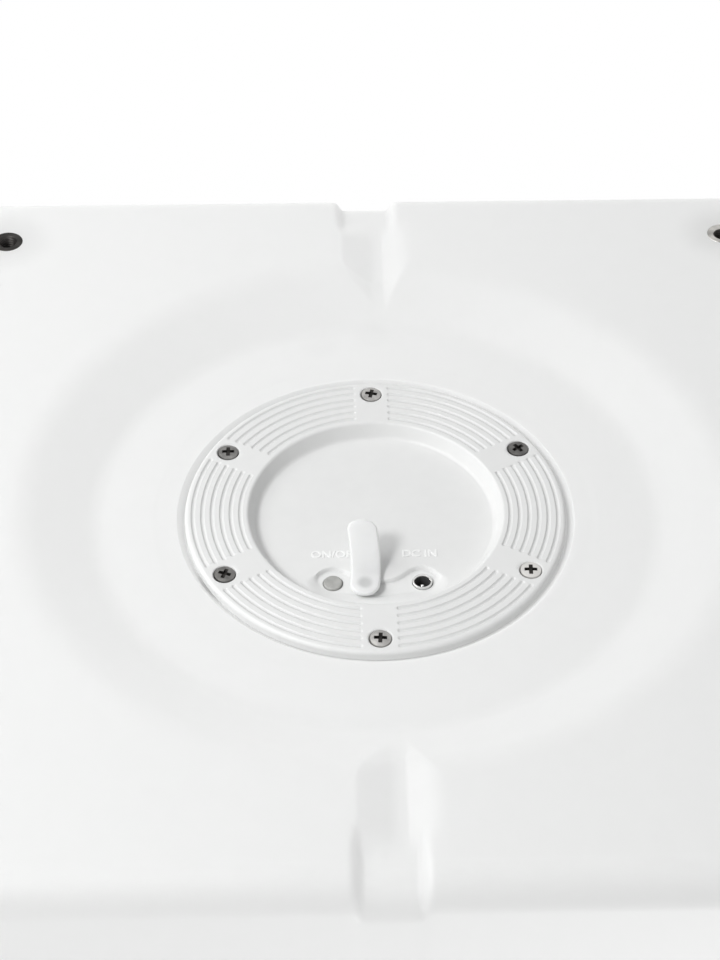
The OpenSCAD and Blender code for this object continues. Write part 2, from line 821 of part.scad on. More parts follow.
// Bent strap over the battery, with a foot on a post at each end
module battery_strap() {
    foot_z = strap_foot_z;
    top_z = strap_top_z;
    color("gray") difference() {
        translate([-strap_w / 2, 0, 0]) rotate([90, 0, 90]) linear_extrude(strap_w) polygon([
            [strap_front - strap_foot, foot_z], [strap_front + strap_t, foot_z],
            [strap_front + strap_t, top_z], [strap_back - strap_t, top_z],
            [strap_back - strap_t, foot_z], [strap_back + strap_foot, foot_z],
            [strap_back + strap_foot, foot_z + strap_t], [strap_back, foot_z + strap_t],
            [strap_back, top_z + strap_t], [strap_front, top_z + strap_t], [strap_front, foot_z + strap_t],
            [strap_front - strap_foot, foot_z + strap_t]
        ]);
        at_strap_posts() translate([0, 0, foot_z - cut]) cylinder(h = strap_t + 2 * cut, r = small_hole_r);
    }
}

module strap_screws() {
    color("silver") at_strap_posts() small_screw(strap_foot_z + strap_t);
}

module lead_plugs() {
    color("ivory") for (p = [led_plug, battery_plug])
        translate([p.x - plug_w / 2, p.y - plug_d / 2, board_top_z]) cube([plug_w, plug_d, plug_h]);
}

// Two leads from their plug to the wrapped battery
module battery_leads() {
    z = board_top_z + plug_h / 2;
    start = battery_plug.y + plug_d / 2;
    off = max(abs(z - battery_z) - lead_r, 0);
    end = battery_y - cell_step - sqrt(wrap_r * wrap_r - off * off) - seat_fit;
    color("firebrick") for (s = [-1, 1]) translate([battery_plug.x + s * lead_pitch / 2, start, z])
        rotate([-90, 0, 0]) cylinder(h = end - start, r = lead_r);
}

// Two leads from their plug up to the light board
module led_leads() {
    start = board_top_z + plug_h;
    color("firebrick") for (s = [-1, 1]) translate([led_plug.x + s * lead_pitch / 2, led_plug.y, start])
        cylinder(h = led_z - start, r = lead_r);
}

// Round board with a notch at each dome post
module led_board() {
    color("gainsboro") translate([0, 0, led_z]) difference() {
        cylinder(h = board_t, r = skirt_in_r - loose_fit);
        at_dome_posts() translate([0, 0, -cut]) cylinder(h = board_t + 2 * cut, r = post_r + loose_fit);
        at_led_posts() translate([0, 0, -cut]) cylinder(h = board_t + 2 * cut, r = small_hole_r);
    }
}

module led_chips() {
    color("khaki") for (ring = [[chips_inner, chip_ring_in], [chips_outer, chip_ring_out]])
        around(ring[0], ring[1]) translate([-chip_w / 2, -chip_w / 2, led_top_z])
            cube([chip_w, chip_w, chip_h]);
}

module led_screws() {
    color("silver") at_led_posts() small_screw(led_top_z);
}

// Domed lens with a flat flange
module dome() {
    centre = dome_flange_t + dome_rise - dome_ball_r;
    color("white", 0.6) translate([0, 0, skirt_top_z]) difference() {
        rotate_extrude() {
            translate([dome_flange_in, 0]) square([dome_flange_r - dome_flange_in, dome_flange_t]);
            intersection() {
                difference() {
                    translate([0, centre]) circle(dome_ball_r);
                    translate([0, centre]) circle(dome_ball_r - dome_t);
                }
                translate([0, dome_flange_t]) square([dome_r, dome_h]);
            }
        }
        at_dome_posts() translate([0, 0, -cut]) cylinder(h = dome_flange_t + 2 * cut, r = small_hole_r);
    }
}

module dome_seal() {
    color("black") translate([0, 0, skirt_top_z - ring_r - seat_fit]) rotate_extrude()
        translate([skirt_in_r + skirt_t / 2, 0]) circle(ring_r);
}

module dome_screws() {
    color("silver") at_dome_posts() small_screw(skirt_top_z + dome_flange_t);
}

shell();
corner_inserts();
screw_sleeves();
flange_gasket();
led_cover();
flange_screws();
button_cap();
switch_plunger();
switch_body();
socket_sleeve();
socket_pin();
socket_body();
seal_anchor();
seal_flap();
control_board();
control_parts();
control_screws();
battery_cells();
battery_wrap();
battery_foam();
battery_strap();
strap_screws();
lead_plugs();
battery_leads();
led_leads();
led_board();
led_chips();
led_screws();
dome();
dome_seal();
dome_screws();
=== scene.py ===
"""Looks of a rechargeable light cube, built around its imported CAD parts.

The frame is the CAD's: metres, +Z up, origin under the middle of the base. Shapes are worked out in
millimetres and turned into metres when their mesh is made.
"""

import json
import math

import bmesh
import bpy
import numpy as np
from mathutils import Matrix, Vector


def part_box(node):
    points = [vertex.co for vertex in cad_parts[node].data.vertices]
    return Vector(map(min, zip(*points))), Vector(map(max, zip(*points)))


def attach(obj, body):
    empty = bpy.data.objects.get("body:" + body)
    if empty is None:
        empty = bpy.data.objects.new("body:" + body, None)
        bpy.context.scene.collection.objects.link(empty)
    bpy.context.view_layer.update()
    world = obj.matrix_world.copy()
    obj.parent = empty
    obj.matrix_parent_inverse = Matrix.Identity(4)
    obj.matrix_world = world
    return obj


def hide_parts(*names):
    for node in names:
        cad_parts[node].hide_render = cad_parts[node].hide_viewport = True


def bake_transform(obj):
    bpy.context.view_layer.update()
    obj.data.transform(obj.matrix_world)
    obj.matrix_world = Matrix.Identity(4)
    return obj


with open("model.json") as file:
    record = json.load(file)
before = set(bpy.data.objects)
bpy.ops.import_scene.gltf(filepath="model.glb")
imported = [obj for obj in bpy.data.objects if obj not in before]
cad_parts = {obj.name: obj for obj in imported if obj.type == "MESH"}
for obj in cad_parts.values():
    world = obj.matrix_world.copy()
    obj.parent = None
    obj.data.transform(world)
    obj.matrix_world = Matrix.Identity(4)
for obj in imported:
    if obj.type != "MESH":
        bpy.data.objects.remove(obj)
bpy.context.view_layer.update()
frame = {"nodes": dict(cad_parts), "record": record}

MM = 0.001
TINY = 1e-6
SHARP_ANGLE = math.radians(38)

# Steps once round a turned shape, by its size
WIDE_STEPS = 96
STEPS = 64
MID_STEPS = 48
STUD_STEPS = 40
SMALL_STEPS = 32

# How far the tool of a cut or a join goes past the face that it meets, in millimetres
PAST = 1.0

# Sizes of the cube, in millimetres
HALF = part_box("shell")[1].x / MM
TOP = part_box("shell")[1].z / MM
WALL = 4.0
EDGE_R = 13.0
CORNER_R = 22.0
DISH = dict(floor=110.0, rim=149.0, depth=13.9, low_r=18.0, high_r=28.0)
SEAT = dict(floor=78.0, rim=81.0, depth=2.98, low_r=0.3, high_r=0.3)
CHANNEL_EDGE = dict(floor=9.0, rim=15.2, depth=5.0, low_r=2.5, high_r=3.5)
CHANNEL_LEFT = dict(floor=-5.0, rim=12.0, depth=5.6, low_r=12.0, high_r=4.0)
CHANNEL_RIGHT = dict(floor=6.5, rim=21.0, depth=5.6, low_r=2.0, high_r=16.0)
CHANNEL_MOUTH = (164.0, 180.0)
RING_R = 89.5
RING_D = 0.12
RING_SLOPE = 3.0
SEAT_Z = DISH["depth"] + RING_D + SEAT["depth"]
DENT = dict(depth=2.2, towards=-29.0, spread=4.5, reach=79.3, fade=1.5)
OPENING_R = 58.5
BLEND = 5.0

# Mesh of the shell: zones are (from, to, step) in millimetres, and counts are of rows or rays
DISH_ZONES = [(OPENING_R, 74, 8), (74, 79.6, 0.7), (79.6, 81.2, 0.1), (81.2, 87, 2.9), (87, 92, 0.4),
              (92, 108, 4), (108, 151, 1.2), (151, 156, 1.6)]
CORNER_ZONE = 24.0
CORNER_STEP = 1.6
CHANNEL_ZONE = 38.0
CHANNEL_STEP = 0.8
PLAIN_STEP = 7.0
CORNER_COUNT = 11
BASE_COUNT = 36
EDGE_COUNT = 14
SIDE_COUNT = 9
TOP_EDGE_COUNT = 11
TOP_SHARES = (0.8, 0.6, 0.4, 0.2)
LEVEL_MARGIN = 5.0
INNER_STRIDE = 3

# Corner inserts
INSERT_PITCH = 326.0
INSERT_HALF = INSERT_PITCH / 2
INSERT_R = 6.2
INSERT_LEN = 18.0
INSERT_BEVEL = 0.6
INSERT_BOSS = 5.0
BOSS_START = 2.2
COLLAR_R = 6.9
COLLAR_T = 1.2
COLLAR_BEVEL = 0.25
BORE_R = 3.4
BORE_D = 15.0
MOUTH_OUT = 0.95
MOUTH_IN = 0.6
MOUTH_D = 0.4
THREAD_D = 0.55
THREAD_PITCH = 1.25
THREAD_FROM = 0.55
THREAD_END = 0.3
THREAD_ROWS = 5
THREAD_MARGIN = 0.1
SINK_R = 15.0
SINK_D = 0.5

# Cover of the light unit
FLANGE_R = 77.6
FACE_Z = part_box("led_cover")[0].z / MM
SKIRT_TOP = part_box("led_cover")[1].z / MM
FLANGE_T = 3.5
FLANGE_EDGE_R = 1.7
FLANGE_EDGE_COUNT = 9
FACE_MARGIN = 0.4
LIP_W = 2.0
LIP_GAP = 0.12
LIP_BEVEL = 0.1
SKIRT_R = 56.0
SKIRT_IN_R = 53.4
SKIRT_GROOVE_HALF = 0.65
SKIRT_GROOVE_D = 1.25
CUP = dict(floor=47.4, rim=52.8, depth=6.0, low_r=2.2, high_r=1.4)
CUP_Z = FACE_Z + CUP["depth"]
COVER_T = 3.2
COVER_BACK = CUP_Z + COVER_T
COVER_HOLE_PAST = 5.0
COVER_HOLE_TOP = COVER_BACK + COVER_HOLE_PAST
BACK_RING_R = 8.0
GROOVE_FIRST_R = 55.0
GROOVE_PITCH = 3.85
GROOVE_COUNT = 6
GROOVES = [GROOVE_FIRST_R + GROOVE_PITCH * k for k in range(GROOVE_COUNT)]
GROOVE_HALF = 0.95
GROOVE_D = 0.52
STRIP_HALF = 6.7
GASKET_GAP = 0.2

# Mesh of the cover, in zones of (from, to, step): radii in millimetres, angles off a screw in degrees
COVER_ZONES = [(4, 28, 6), (28, 45.6, 0.45), (45.6, 53.6, 0.32)]
GROOVE_ROWS = 13
ANGLE_ZONES = [(0, 4.5, 0.45), (4.5, 8.4, 0.26)]
ANGLE_STEP = 1.3
POCKET_ANGLE_STEP = 0.65

# Cover screws
SCREW_COUNT = 6
FIRST_SCREW = 90.0
SCREW_ANGLES = [FIRST_SCREW + k * 360 / SCREW_COUNT for k in range(SCREW_COUNT)]
SCREW_CIRCLE = 70.0
SCREW_R = 1.95
SCREW_FIT = 0.3
SCREW_LEN = 12.0
SCREW_TIP = 1.0
SCREW_TIP_IN = 0.8
HEAD_R = 4.2
HEAD_H = 2.0
HEAD_SEAT = 1.5
HEAD_GAP = 0.3
HEAD_EDGE = 0.25
HEAD_BEVEL = 0.15
CROWN_H = 0.4
CROWN_POWER = 2.4
CROWN_SHARES = (0.25, 0.45, 0.62, 0.76, 0.87, 0.95)
CROSS_HALF = 2.95
CROSS_W = 1.8
CROSS_D = 1.35
CROSS_TAPER = 0.6
CROSS_PAST = 0.5
CROSS_TURNS = (12, 55, 2, 4, 20, 0)
CROSS_SKIN = 0.05
CROSS_MARGIN = 0.01
SLEEVE_R = 3.52
SLEEVE_LEN = 10.0
SLEEVE_BOSS = 3.0

# Rounded mouth of a screw's seat, as (out from its side, up from the face)
SEAT_MOUTH = [(0.5, 0.0), (0.12, 0.25), (0.0, 0.6)]

# Controls in the cup
CONTROL_X = 17.85
CONTROL_Y = -34.0
POCKET_ANGLE = 270.0
POCKET_D = 1.5
POCKET_R = 6.6
POCKET_BAND = (33.5, 43.0)
POCKET_BLEND = 7.0
POCKET_INSET = 0.4
POCKET_WALL = 1.2
POCKET_RAMP = dict(start=38.5, run=5.0, wide=5.5)
BUTTON_R = 3.8
BUTTON_FIT = 0.3
BUTTON_STEM_R = 1.7
BUTTON_COLLAR = dict(gap=0.3, wide=1.2, thick=1.0)
SOCKET_R = 4.0
SOCKET_BORE = 3.0
SOCKET_FIT = 0.25

# Dished face of the button, as (radius, up), and its rounded edge, as (in from the side, up)
BUTTON_FACE = [(0, 0.12), (1.3, 0.1), (2.3, 0.03)]
BUTTON_EDGE = [(0.8, 0.0), (0.4, 0.05), (0.15, 0.2), (0.03, 0.4), (0.0, 0.6)]

# Socket: edge as (in from the side, up), countersink as (out from the bore, up), pin as (radius, up)
SOCKET_EDGE = [(0.0, 0.25), (0.08, 0.08), (0.25, 0.0)]
SOCKET_SINK = [(0.45, 0.0), (0.12, 0.35), (0.0, 0.6)]
PIN_TIP = [(0.0, 0.0), (0.45, 0.06), (0.78, 0.28), (0.95, 0.65), (1.0, 1.0)]

# Socket seal
STUD_X = 5.1
STUD_Y = -37.0
STUD_R = 2.0
STUD_HOLE_R = 2.3
STUD_FOOT_R = 3.0
STUD_SINK = 0.6
STUD_BEVEL = 0.1
SEAL_HALF = 6.0
SEAL_T = 2.0
SEAL_GAP = 0.3
SEAL_EDGE = 0.98
SEAL_SQUARE = 0.35
SEAL_END = 4.2
SEAL_LEAN = 1.2
SEAL_BOW = 0.9
SEAL_BEND = (2.6, 10.4)
FOLD_REACH = 6.5
FOLD_REST = 45.0
DIMPLE_R = 4.0
DIMPLE_D = 0.6
PLUG_REACH = 23.2
PLUG_R = 2.8
PLUG_LEN = 3.0
PLUG_BEVEL = 0.5
SEAL_TIP = PLUG_REACH + SEAL_END
SEAL_BACK = CUP_Z - SEAL_GAP
PAD_MID_Z = CUP_Z - SEAL_GAP - SEAL_T / 2

# Barb of the stud behind the cover, as (radius, up from the back)
STUD_BARB = [(3.2, 0.3), (3.0, 1.0), (2.0, 2.3)]

# Mesh of the seal: distances from its ends, the step between, and counts along and around it
SEAL_RIM = [0, 0.02, 0.08, 0.2, 0.4, 0.65, 1.0, 1.5, 2.2, 3.0, 4.0, 5.0]
SEAL_RIM_ZONE = 6.0
SEAL_STEP = 0.45
SEAL_PATH_COUNT = 1600
SEAL_AROUND = 56

# Raised words, as (name, words, x), and their sizes
LETTERING = [("switch_words", "ON/OFF", 17.0), ("socket_words", "DC IN", -17.3)]
LETTER_Y = -19.5
LETTER_SIZE = 5.2
LETTER_SWELL = 0.07
LETTER_DEPTH = 0.15
LETTER_BEVEL = 0.04
LETTER_RAISE = 0.04

# Milky shell: what it reflects, a painted glow that stands in for light scattered through its wall from its
# lit inside, and how that painted glow changes along X in metres
SHELL_COLOUR = (0.36, 0.364, 0.362)
SHELL_PAINTED_GLOW = 0.51
PAINTED_GLOW_ALONG_X = {"From Min": -0.2, "From Max": 0.2, "To Min": 0.88, "To Max": 1.02}

# Painted shade in hollows, around the corner inserts and on the seal over its stud, and two darker spots on
# the shell, all of which dim a finish. Places and reaches are in metres
SHELL_HOLLOW_SHADE = dict(reach=0.022, strength=0.26, own_only=False)
COVER_HOLLOW_SHADE = dict(reach=0.0015, strength=0.65, own_only=True)
# Two places near the flange where the shell's colour and glow are made a little darker
DARKER_SPOT_PLACES = [(0.022, 0.103, 0.0139), (-0.0015, 0.11, 0.0139)]
DARKER_SPOT_FADE = dict(inner=0.003, outer=0.011, share=0.982)
# Painted shade: the shell's colour and glow darken around each corner insert
INSERT_SHADE_SPOT = dict(inner=0.007, outer=0.024, share=0.9)
# Painted shade: the silicone darkens over the stud under its pad
STUD_SHADE_SPOT = dict(inner=0.0014, outer=0.0042, share=0.73)
OCCLUSION_SAMPLES = 8

# Noise of every finish: size and edges of its clouds, and heights of its bumps in metres
CLOUD_RATIO = 12
CLOUD_EDGES = (0.32, 0.68)
GRAIN_HEIGHT = 0.0004
WAVE_HEIGHT = 0.002
LEAST_ROUGHNESS = 0.02

# Inputs that some finishes set besides their colour and roughness
# The shell's emission is a painted glow for light scattered through its milky wall; its subsurface
# scattering is real
MILKY_WITH_PAINTED_GLOW = {"Emission Color": (1, 1, 0.995, 1), "Emission Strength": SHELL_PAINTED_GLOW, "Subsurface Weight": 0.8,
         "Subsurface Radius": (0.007, 0.007, 0.007), "Subsurface Scale": 1.0}
SOFT = {"Subsurface Weight": 0.9, "Subsurface Radius": (0.006, 0.006, 0.0058), "Subsurface Scale": 1.0}
CLEAR = {"Transmission Weight": 0.4, "IOR": 1.5}

# Finishes of the record's material slots
SLOT_FINISHES = {
    "shell_plastic": dict(colour=SHELL_COLOUR, rough=0.5, grain=1400, vary=0.008, bump=0.05,
                          wave=0.12, wave_scale=14, extra=MILKY_WITH_PAINTED_GLOW),
    "cover_plastic": dict(colour=(0.81, 0.815, 0.81), rough=0.42, grain=1800, vary=0.01, bump=0.04,
                          wave=0.05, wave_scale=60),
    "insert_steel": dict(colour=(0.2, 0.19, 0.18), rough=0.42, metal=1.0, grain=2500, vary=0.35,
                         rough_by=0.12, bump=0.12),
    "screw_steel": dict(colour=(0.36, 0.35, 0.34), rough=0.34, metal=1.0, grain=3000, vary=0.3,
                        rough_by=0.12, bump=0.1),
    "plated_metal": dict(colour=(0.68, 0.68, 0.67), rough=0.22, metal=1.0, grain=2500, vary=0.06,
                         bump=0.04),
    "brass": dict(colour=(0.65, 0.48, 0.2), rough=0.35, metal=1.0, grain=2000, vary=0.1, bump=0.05),
    "silicone": dict(colour=(0.85, 0.86, 0.855), rough=0.5, grain=1600, vary=0.012, bump=0.05,
                     extra=SOFT),
    "gasket_rubber": dict(colour=(0.16, 0.16, 0.16), rough=0.8, grain=1500, vary=0.15, bump=0.2),
    "button_plastic": dict(colour=(0.41, 0.41, 0.395), rough=0.5, grain=3600, vary=0.14, bump=0.18),
    "black_plastic": dict(colour=(0.02, 0.02, 0.021), rough=0.5, grain=1500, vary=0.2, bump=0.1),
    "circuit_board": dict(colour=(0.02, 0.13, 0.05), rough=0.3, grain=900, vary=0.2, bump=0.05),
    "led_board": dict(colour=(0.8, 0.8, 0.78), rough=0.35, grain=1200, vary=0.03, bump=0.04),
    "led_phosphor": dict(colour=(0.83, 0.7, 0.22), rough=0.3, grain=2500, vary=0.06, bump=0.05),
    "dome_plastic": dict(colour=(0.84, 0.84, 0.82), rough=0.35, grain=1200, vary=0.02, bump=0.03,
                         extra=CLEAR),
    "cell_wrap": dict(colour=(0.03, 0.09, 0.34), rough=0.28, grain=1000, vary=0.1, bump=0.06),
    "foam": dict(colour=(0.05, 0.05, 0.05), rough=0.95, grain=2200, vary=0.4, bump=0.6),
    "strap_aluminium": dict(colour=(0.7, 0.7, 0.71), rough=0.38, metal=1.0, grain=2200, vary=0.05,
                            bump=0.06),
    "plug_plastic": dict(colour=(0.8, 0.75, 0.6), rough=0.45, grain=1500, vary=0.03, bump=0.05),
    "lead_sheath": dict(colour=(0.45, 0.02, 0.015), rough=0.5, grain=1500, vary=0.1, bump=0.06),
}

# Finishes of single pieces and faces
OTHER_FINISHES = {
    # Near-black steel painted on the screws' cross recesses and the inserts' threads, as painted shade
    "shade_black_steel": dict(colour=(0.05, 0.047, 0.045), rough=0.5, metal=1.0, grain=3000, vary=0.3, bump=0.1),
    "dark_bore": dict(colour=(0.05, 0.05, 0.05), rough=0.55, grain=2500, vary=0.2, bump=0.05),
    # Darker and brighter copies of the insert steel, painted for the reflections two inserts show
    "dark_reflection_steel": dict(colour=(0.04, 0.038, 0.036), rough=0.45, metal=1.0, grain=2500, vary=0.35,
                       bump=0.12),
    "bright_reflection_steel": dict(colour=(0.42, 0.41, 0.39), rough=0.4, metal=1.0, grain=2500, vary=0.3,
                         bump=0.12),
    # Whiter copy of the cover plastic for the raised words, a painted highlight
    "highlit_words": dict(colour=(0.93, 0.935, 0.93), rough=0.45, grain=1800, vary=0.01, bump=0.03),
}
# Finishes of the four inserts: the third and fourth are painted darker and brighter copies of their steel
INSERT_FINISHES = ("insert_steel", "insert_steel", "dark_reflection_steel", "bright_reflection_steel")
# Greys of the six screw heads paint the darker or brighter reflection each head shows
SCREW_GREYS = (0.39, 0.14, 0.64, 0.42, 0.17, 0.22)
SCREW_TINT = (1.0, 0.98, 0.95)
BRIGHT_GREY = 0.5
DARK_HEAD_SPREAD = 0.3
BRIGHT_SPREAD = 0.05

# Stage and light. Floor and lamps are placed in metres
FLOOR_HALF = 8.0
FLOOR_Z = -0.0006
FLOOR_COLOUR = (0.84, 0.84, 0.84, 1)
WHITE = (1, 1, 1, 1)
WORLD_LEVEL = 0.37
SHOWN_LEVEL = 1.0
LAMPS = {
    "key": dict(towards=(0.56, -0.37, -0.73), distance=1.45, size=0.4, level=0.44),
    "side": dict(towards=(0.66, 0.2, -0.73), distance=1.6, size=1.2, level=0.44),
    "top": dict(towards=(-0.4, -0.5, 0.9), distance=4.0, size=2.4, level=0.55),
}

# Camera of the photo: focal length and height in pixels, angles in degrees, offset in millimetres
FOCAL_PX = 2214.05
IMAGE_HEIGHT_PX = 960
CAMERA_TILT = 44.24
CAMERA_ROLL = 0.26
CAMERA_YAW = 1.46
CAMERA_OFFSET = (6.316, 11.957, 901.2)
SENSOR = 36.0
CLIP = (0.01, 50)


# Mesh helpers

def grid_faces(rows, cols, wrap_rows=False):
    """Quads of a grid whose columns close on themselves, and its rows too if asked."""
    r = np.arange(rows if wrap_rows else rows - 1)[:, None]
    c = np.arange(cols)[None, :]
    r_next = (r + 1) % rows
    c_next = (c + 1) % cols
    quads = [r * cols + c, r * cols + c_next, r_next * cols + c_next, r_next * cols + c]
    return np.stack(quads, -1).reshape(-1, 4).tolist()


def add_object(name, data):
    """New object in the scene."""
    obj = bpy.data.objects.new(name, data)
    bpy.context.scene.collection.objects.link(obj)
    return obj


def make_object(name, points, faces):
    """Mesh object from points in millimetres, with its faces turned outwards."""
    mesh = bpy.data.meshes.new(name)
    mesh.from_pydata((np.asarray(points, float) * MM).tolist(), [], faces)
    bm = bmesh.new()
    bm.from_mesh(mesh)
    bmesh.ops.recalc_face_normals(bm, faces=bm.faces)
    bm.to_mesh(mesh)
    bm.free()
    return add_object(name, mesh)


def capped_grid(rows, first_pole, last_pole):
    """Points and faces of a grid of rows that a point closes at each end."""
    count, cols = rows.shape[:2]
    points = np.vstack([rows.reshape(-1, 3), [first_pole, last_pole]])
    faces = grid_faces(count, cols)
    first, last = len(points) - 2, len(points) - 1
    base = (count - 1) * cols
    for k in range(cols):
        n = (k + 1) % cols
        faces.append([first, n, k])
        faces.append([last, base + k, base + n])
    return points, faces


def turned(profile, steps=STEPS, centre=(0, 0)):
    """Points and faces of a profile of (radius, z) turned about a line along Z.
    A profile that begins and ends on the line is closed there, and any other is a ring."""
    profile = np.asarray(profile, float)
    on_line = profile[0, 0] == 0
    rings = profile[1:-1] if on_line else profile
    turn = np.linspace(0, 2 * math.pi, steps, endpoint=False)
    x = centre[0] + rings[:, :1] * np.cos(turn)
    y = centre[1] + rings[:, :1] * np.sin(turn)
    z = np.repeat(rings[:, 1:], steps, 1)
    rows = np.stack([x, y, z], -1)
    if on_line:
        return capped_grid(rows, (*centre, profile[0, 1]), (*centre, profile[-1, 1]))
    return rows.reshape(-1, 3), grid_faces(len(rings), steps, wrap_rows=True)


def rod(r, low, high):
    """Profile of a plain cylinder between two heights."""
    return [(0, low), (r, low), (r, high), (0, high)]


def joined(name, solids):
    """One object of several (points, faces) that don't touch."""
    points, faces, start = [], [], 0
    for p, f in solids:
        points.append(np.asarray(p, float))
        faces += [[i + start for i in face] for face in f]
        start += len(p)
    return make_object(name, np.vstack(points), faces)


def boolean(obj, tool, operation):
    """Adds or cuts the tool's solids, then removes the tool."""
    mod = obj.modifiers.new("tool", "BOOLEAN")
    mod.object = tool
    mod.operation = operation
    mod.solver = "MANIFOLD"
    apply_modifiers(obj)
    bpy.data.objects.remove(tool)


def apply_modifiers(obj):
    """Keeps the shape that the modifiers give and removes them."""
    graph = bpy.context.evaluated_depsgraph_get()
    mesh = bpy.data.meshes.new_from_object(obj.evaluated_get(graph))
    obj.modifiers.clear()
    obj.data = mesh


def shade(obj):
    """Smooth shading, with sharp edges kept."""
    obj.data.shade_smooth()
    obj.data.set_sharp_from_angle(angle=SHARP_ANGLE)


def dress(obj, material, body, slot, *nodes):
    """Gives a new piece its finish and its body, and hides the CAD nodes that it stands for."""
    shade(obj)
    obj.data.materials.clear()
    obj.data.materials.append(material)
    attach(obj, body)
    if nodes:
        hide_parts(*nodes)


def paint(obj, material, chosen):
    """Gives another finish to the faces whose middle, in millimetres, is chosen."""
    obj.data.materials.append(material)
    index = len(obj.data.materials) - 1
    for face in obj.data.polygons:
        if chosen(face.center / MM):
            face.material_index = index


# Shape functions, in millimetres

def from_line(point, centre):
    """Distance of a point from a line along Z through a centre."""
    return math.hypot(point.x - centre[0], point.y - centre[1])


def spin(turn):
    """Matrix that turns places in the plane by an angle in radians."""
    return np.array([[math.cos(turn), -math.sin(turn)], [math.sin(turn), math.cos(turn)]])


def ease(t):
    """Smooth step from 0 to 1."""
    t = np.clip(t, 0, 1)
    return t * t * (3 - 2 * t)


def recess(x, floor, rim, depth, low_r, high_r):
    """Depth of a recess at the distance x from its middle: flat floor, hollow bend, slope, round bend."""
    run, rise = rim - floor, low_r + high_r - depth
    normal = math.atan2(rise, run) + math.acos((low_r + high_r) / math.hypot(run, rise))
    low_end = floor + low_r * math.cos(normal)
    high_end = rim - high_r * math.cos(normal)
    low_bend = depth - low_r + np.sqrt(np.maximum(low_r ** 2 - np.maximum(x - floor, 0) ** 2, 0))
    high_bend = high_r - np.sqrt(np.maximum(high_r ** 2 - np.maximum(rim - x, 0) ** 2, 0))
    slope_top = depth - low_r + low_r * math.sin(normal)
    slope = slope_top - (x - low_end) / math.tan(normal)
    return np.where(x < low_end, low_bend, np.where(x < high_end, slope, high_bend))


def soft_max(a, b, width):
    """Larger of two depths with a rounded valley between them, which fades out where either is shallow."""
    width = width * np.clip(np.minimum(a, b) / width, TINY, 1)
    overlap = np.maximum(width - np.abs(a - b), 0) / width
    return np.maximum(a, b) + overlap ** 2 * width / 4


def dent_depth(x, y):
    """Depth of the one place where the seat falls away under the edge of the cover."""
    off = np.degrees(np.arctan2(y, x)) - DENT["towards"]
    along = np.exp(-(off / DENT["spread"]) ** 2)
    return DENT["depth"] * along * ease((DENT["reach"] - np.hypot(x, y)) / DENT["fade"])


def channel_depth(x, y):
    """Depth of the two channels: even at their mouths, and further in with a long and a short flank."""
    mouth = recess(np.abs(x), **CHANNEL_EDGE)
    inside = np.minimum(recess(x, **CHANNEL_LEFT), recess(-x, **CHANNEL_RIGHT))
    start, stop = CHANNEL_MOUTH
    share = ease((np.abs(y) - start) / (stop - start))
    return (mouth * share + inside * (1 - share)) * (np.abs(y) > DISH["floor"])


def base_depth(x, y):
    """How far the underside of the shell lies above the base plane, without its outer edge."""
    r = np.hypot(x, y)
    dish = recess(r, **DISH) + RING_D * ease((RING_R + RING_SLOPE / 2 - r) / RING_SLOPE)
    depth = soft_max(dish, channel_depth(x, y), BLEND) + recess(r, **SEAT) + dent_depth(x, y)
    from_insert = np.hypot(np.abs(x) - INSERT_HALF, np.abs(y) - INSERT_HALF)
    return depth + SINK_D * ease((SINK_R - from_insert) / (SINK_R - COLLAR_R))


def spread(*zones):
    """Rising values over neighbouring zones, each given as (from, to, step)."""
    parts = [np.linspace(a, b, max(2, round((b - a) / s) + 1)) for a, b, s in zones]
    return np.unique(np.round(np.concatenate(parts), 5))


# Shell

def outline_rays():
    """Places along the foot of the rounded base edge, once round, as (point, outward normal)."""
    side = HALF - EDGE_R
    end = HALF - CORNER_R
    zone = end - CORNER_ZONE
    arc = np.radians(np.linspace(0, 90, CORNER_COUNT))
    first = (-end, -zone, CORNER_STEP)
    last = (zone, end, CORNER_STEP)
    plain = spread(first, (-zone, zone, PLAIN_STEP), last)
    cut = spread(first, (-zone, -CHANNEL_ZONE, PLAIN_STEP), (-CHANNEL_ZONE, CHANNEL_ZONE, CHANNEL_STEP),
                 (CHANNEL_ZONE, zone, PLAIN_STEP), last)
    points, normals = [], []
    for quarter, along in enumerate([plain, cut, plain, cut]):
        turned_by = spin(quarter * math.pi / 2)
        straight = np.stack([np.full(len(along), side), along], -1)
        round_n = np.stack([np.cos(arc), np.sin(arc)], -1)[1:-1]
        corner = np.array([end, end]) + (CORNER_R - EDGE_R) * round_n
        flat_n = np.tile([1.0, 0.0], (len(along), 1))
        points.append(np.vstack([straight, corner]) @ turned_by.T)
        normals.append(np.vstack([flat_n, round_n]) @ turned_by.T)
    return np.vstack(points), np.vstack(normals)


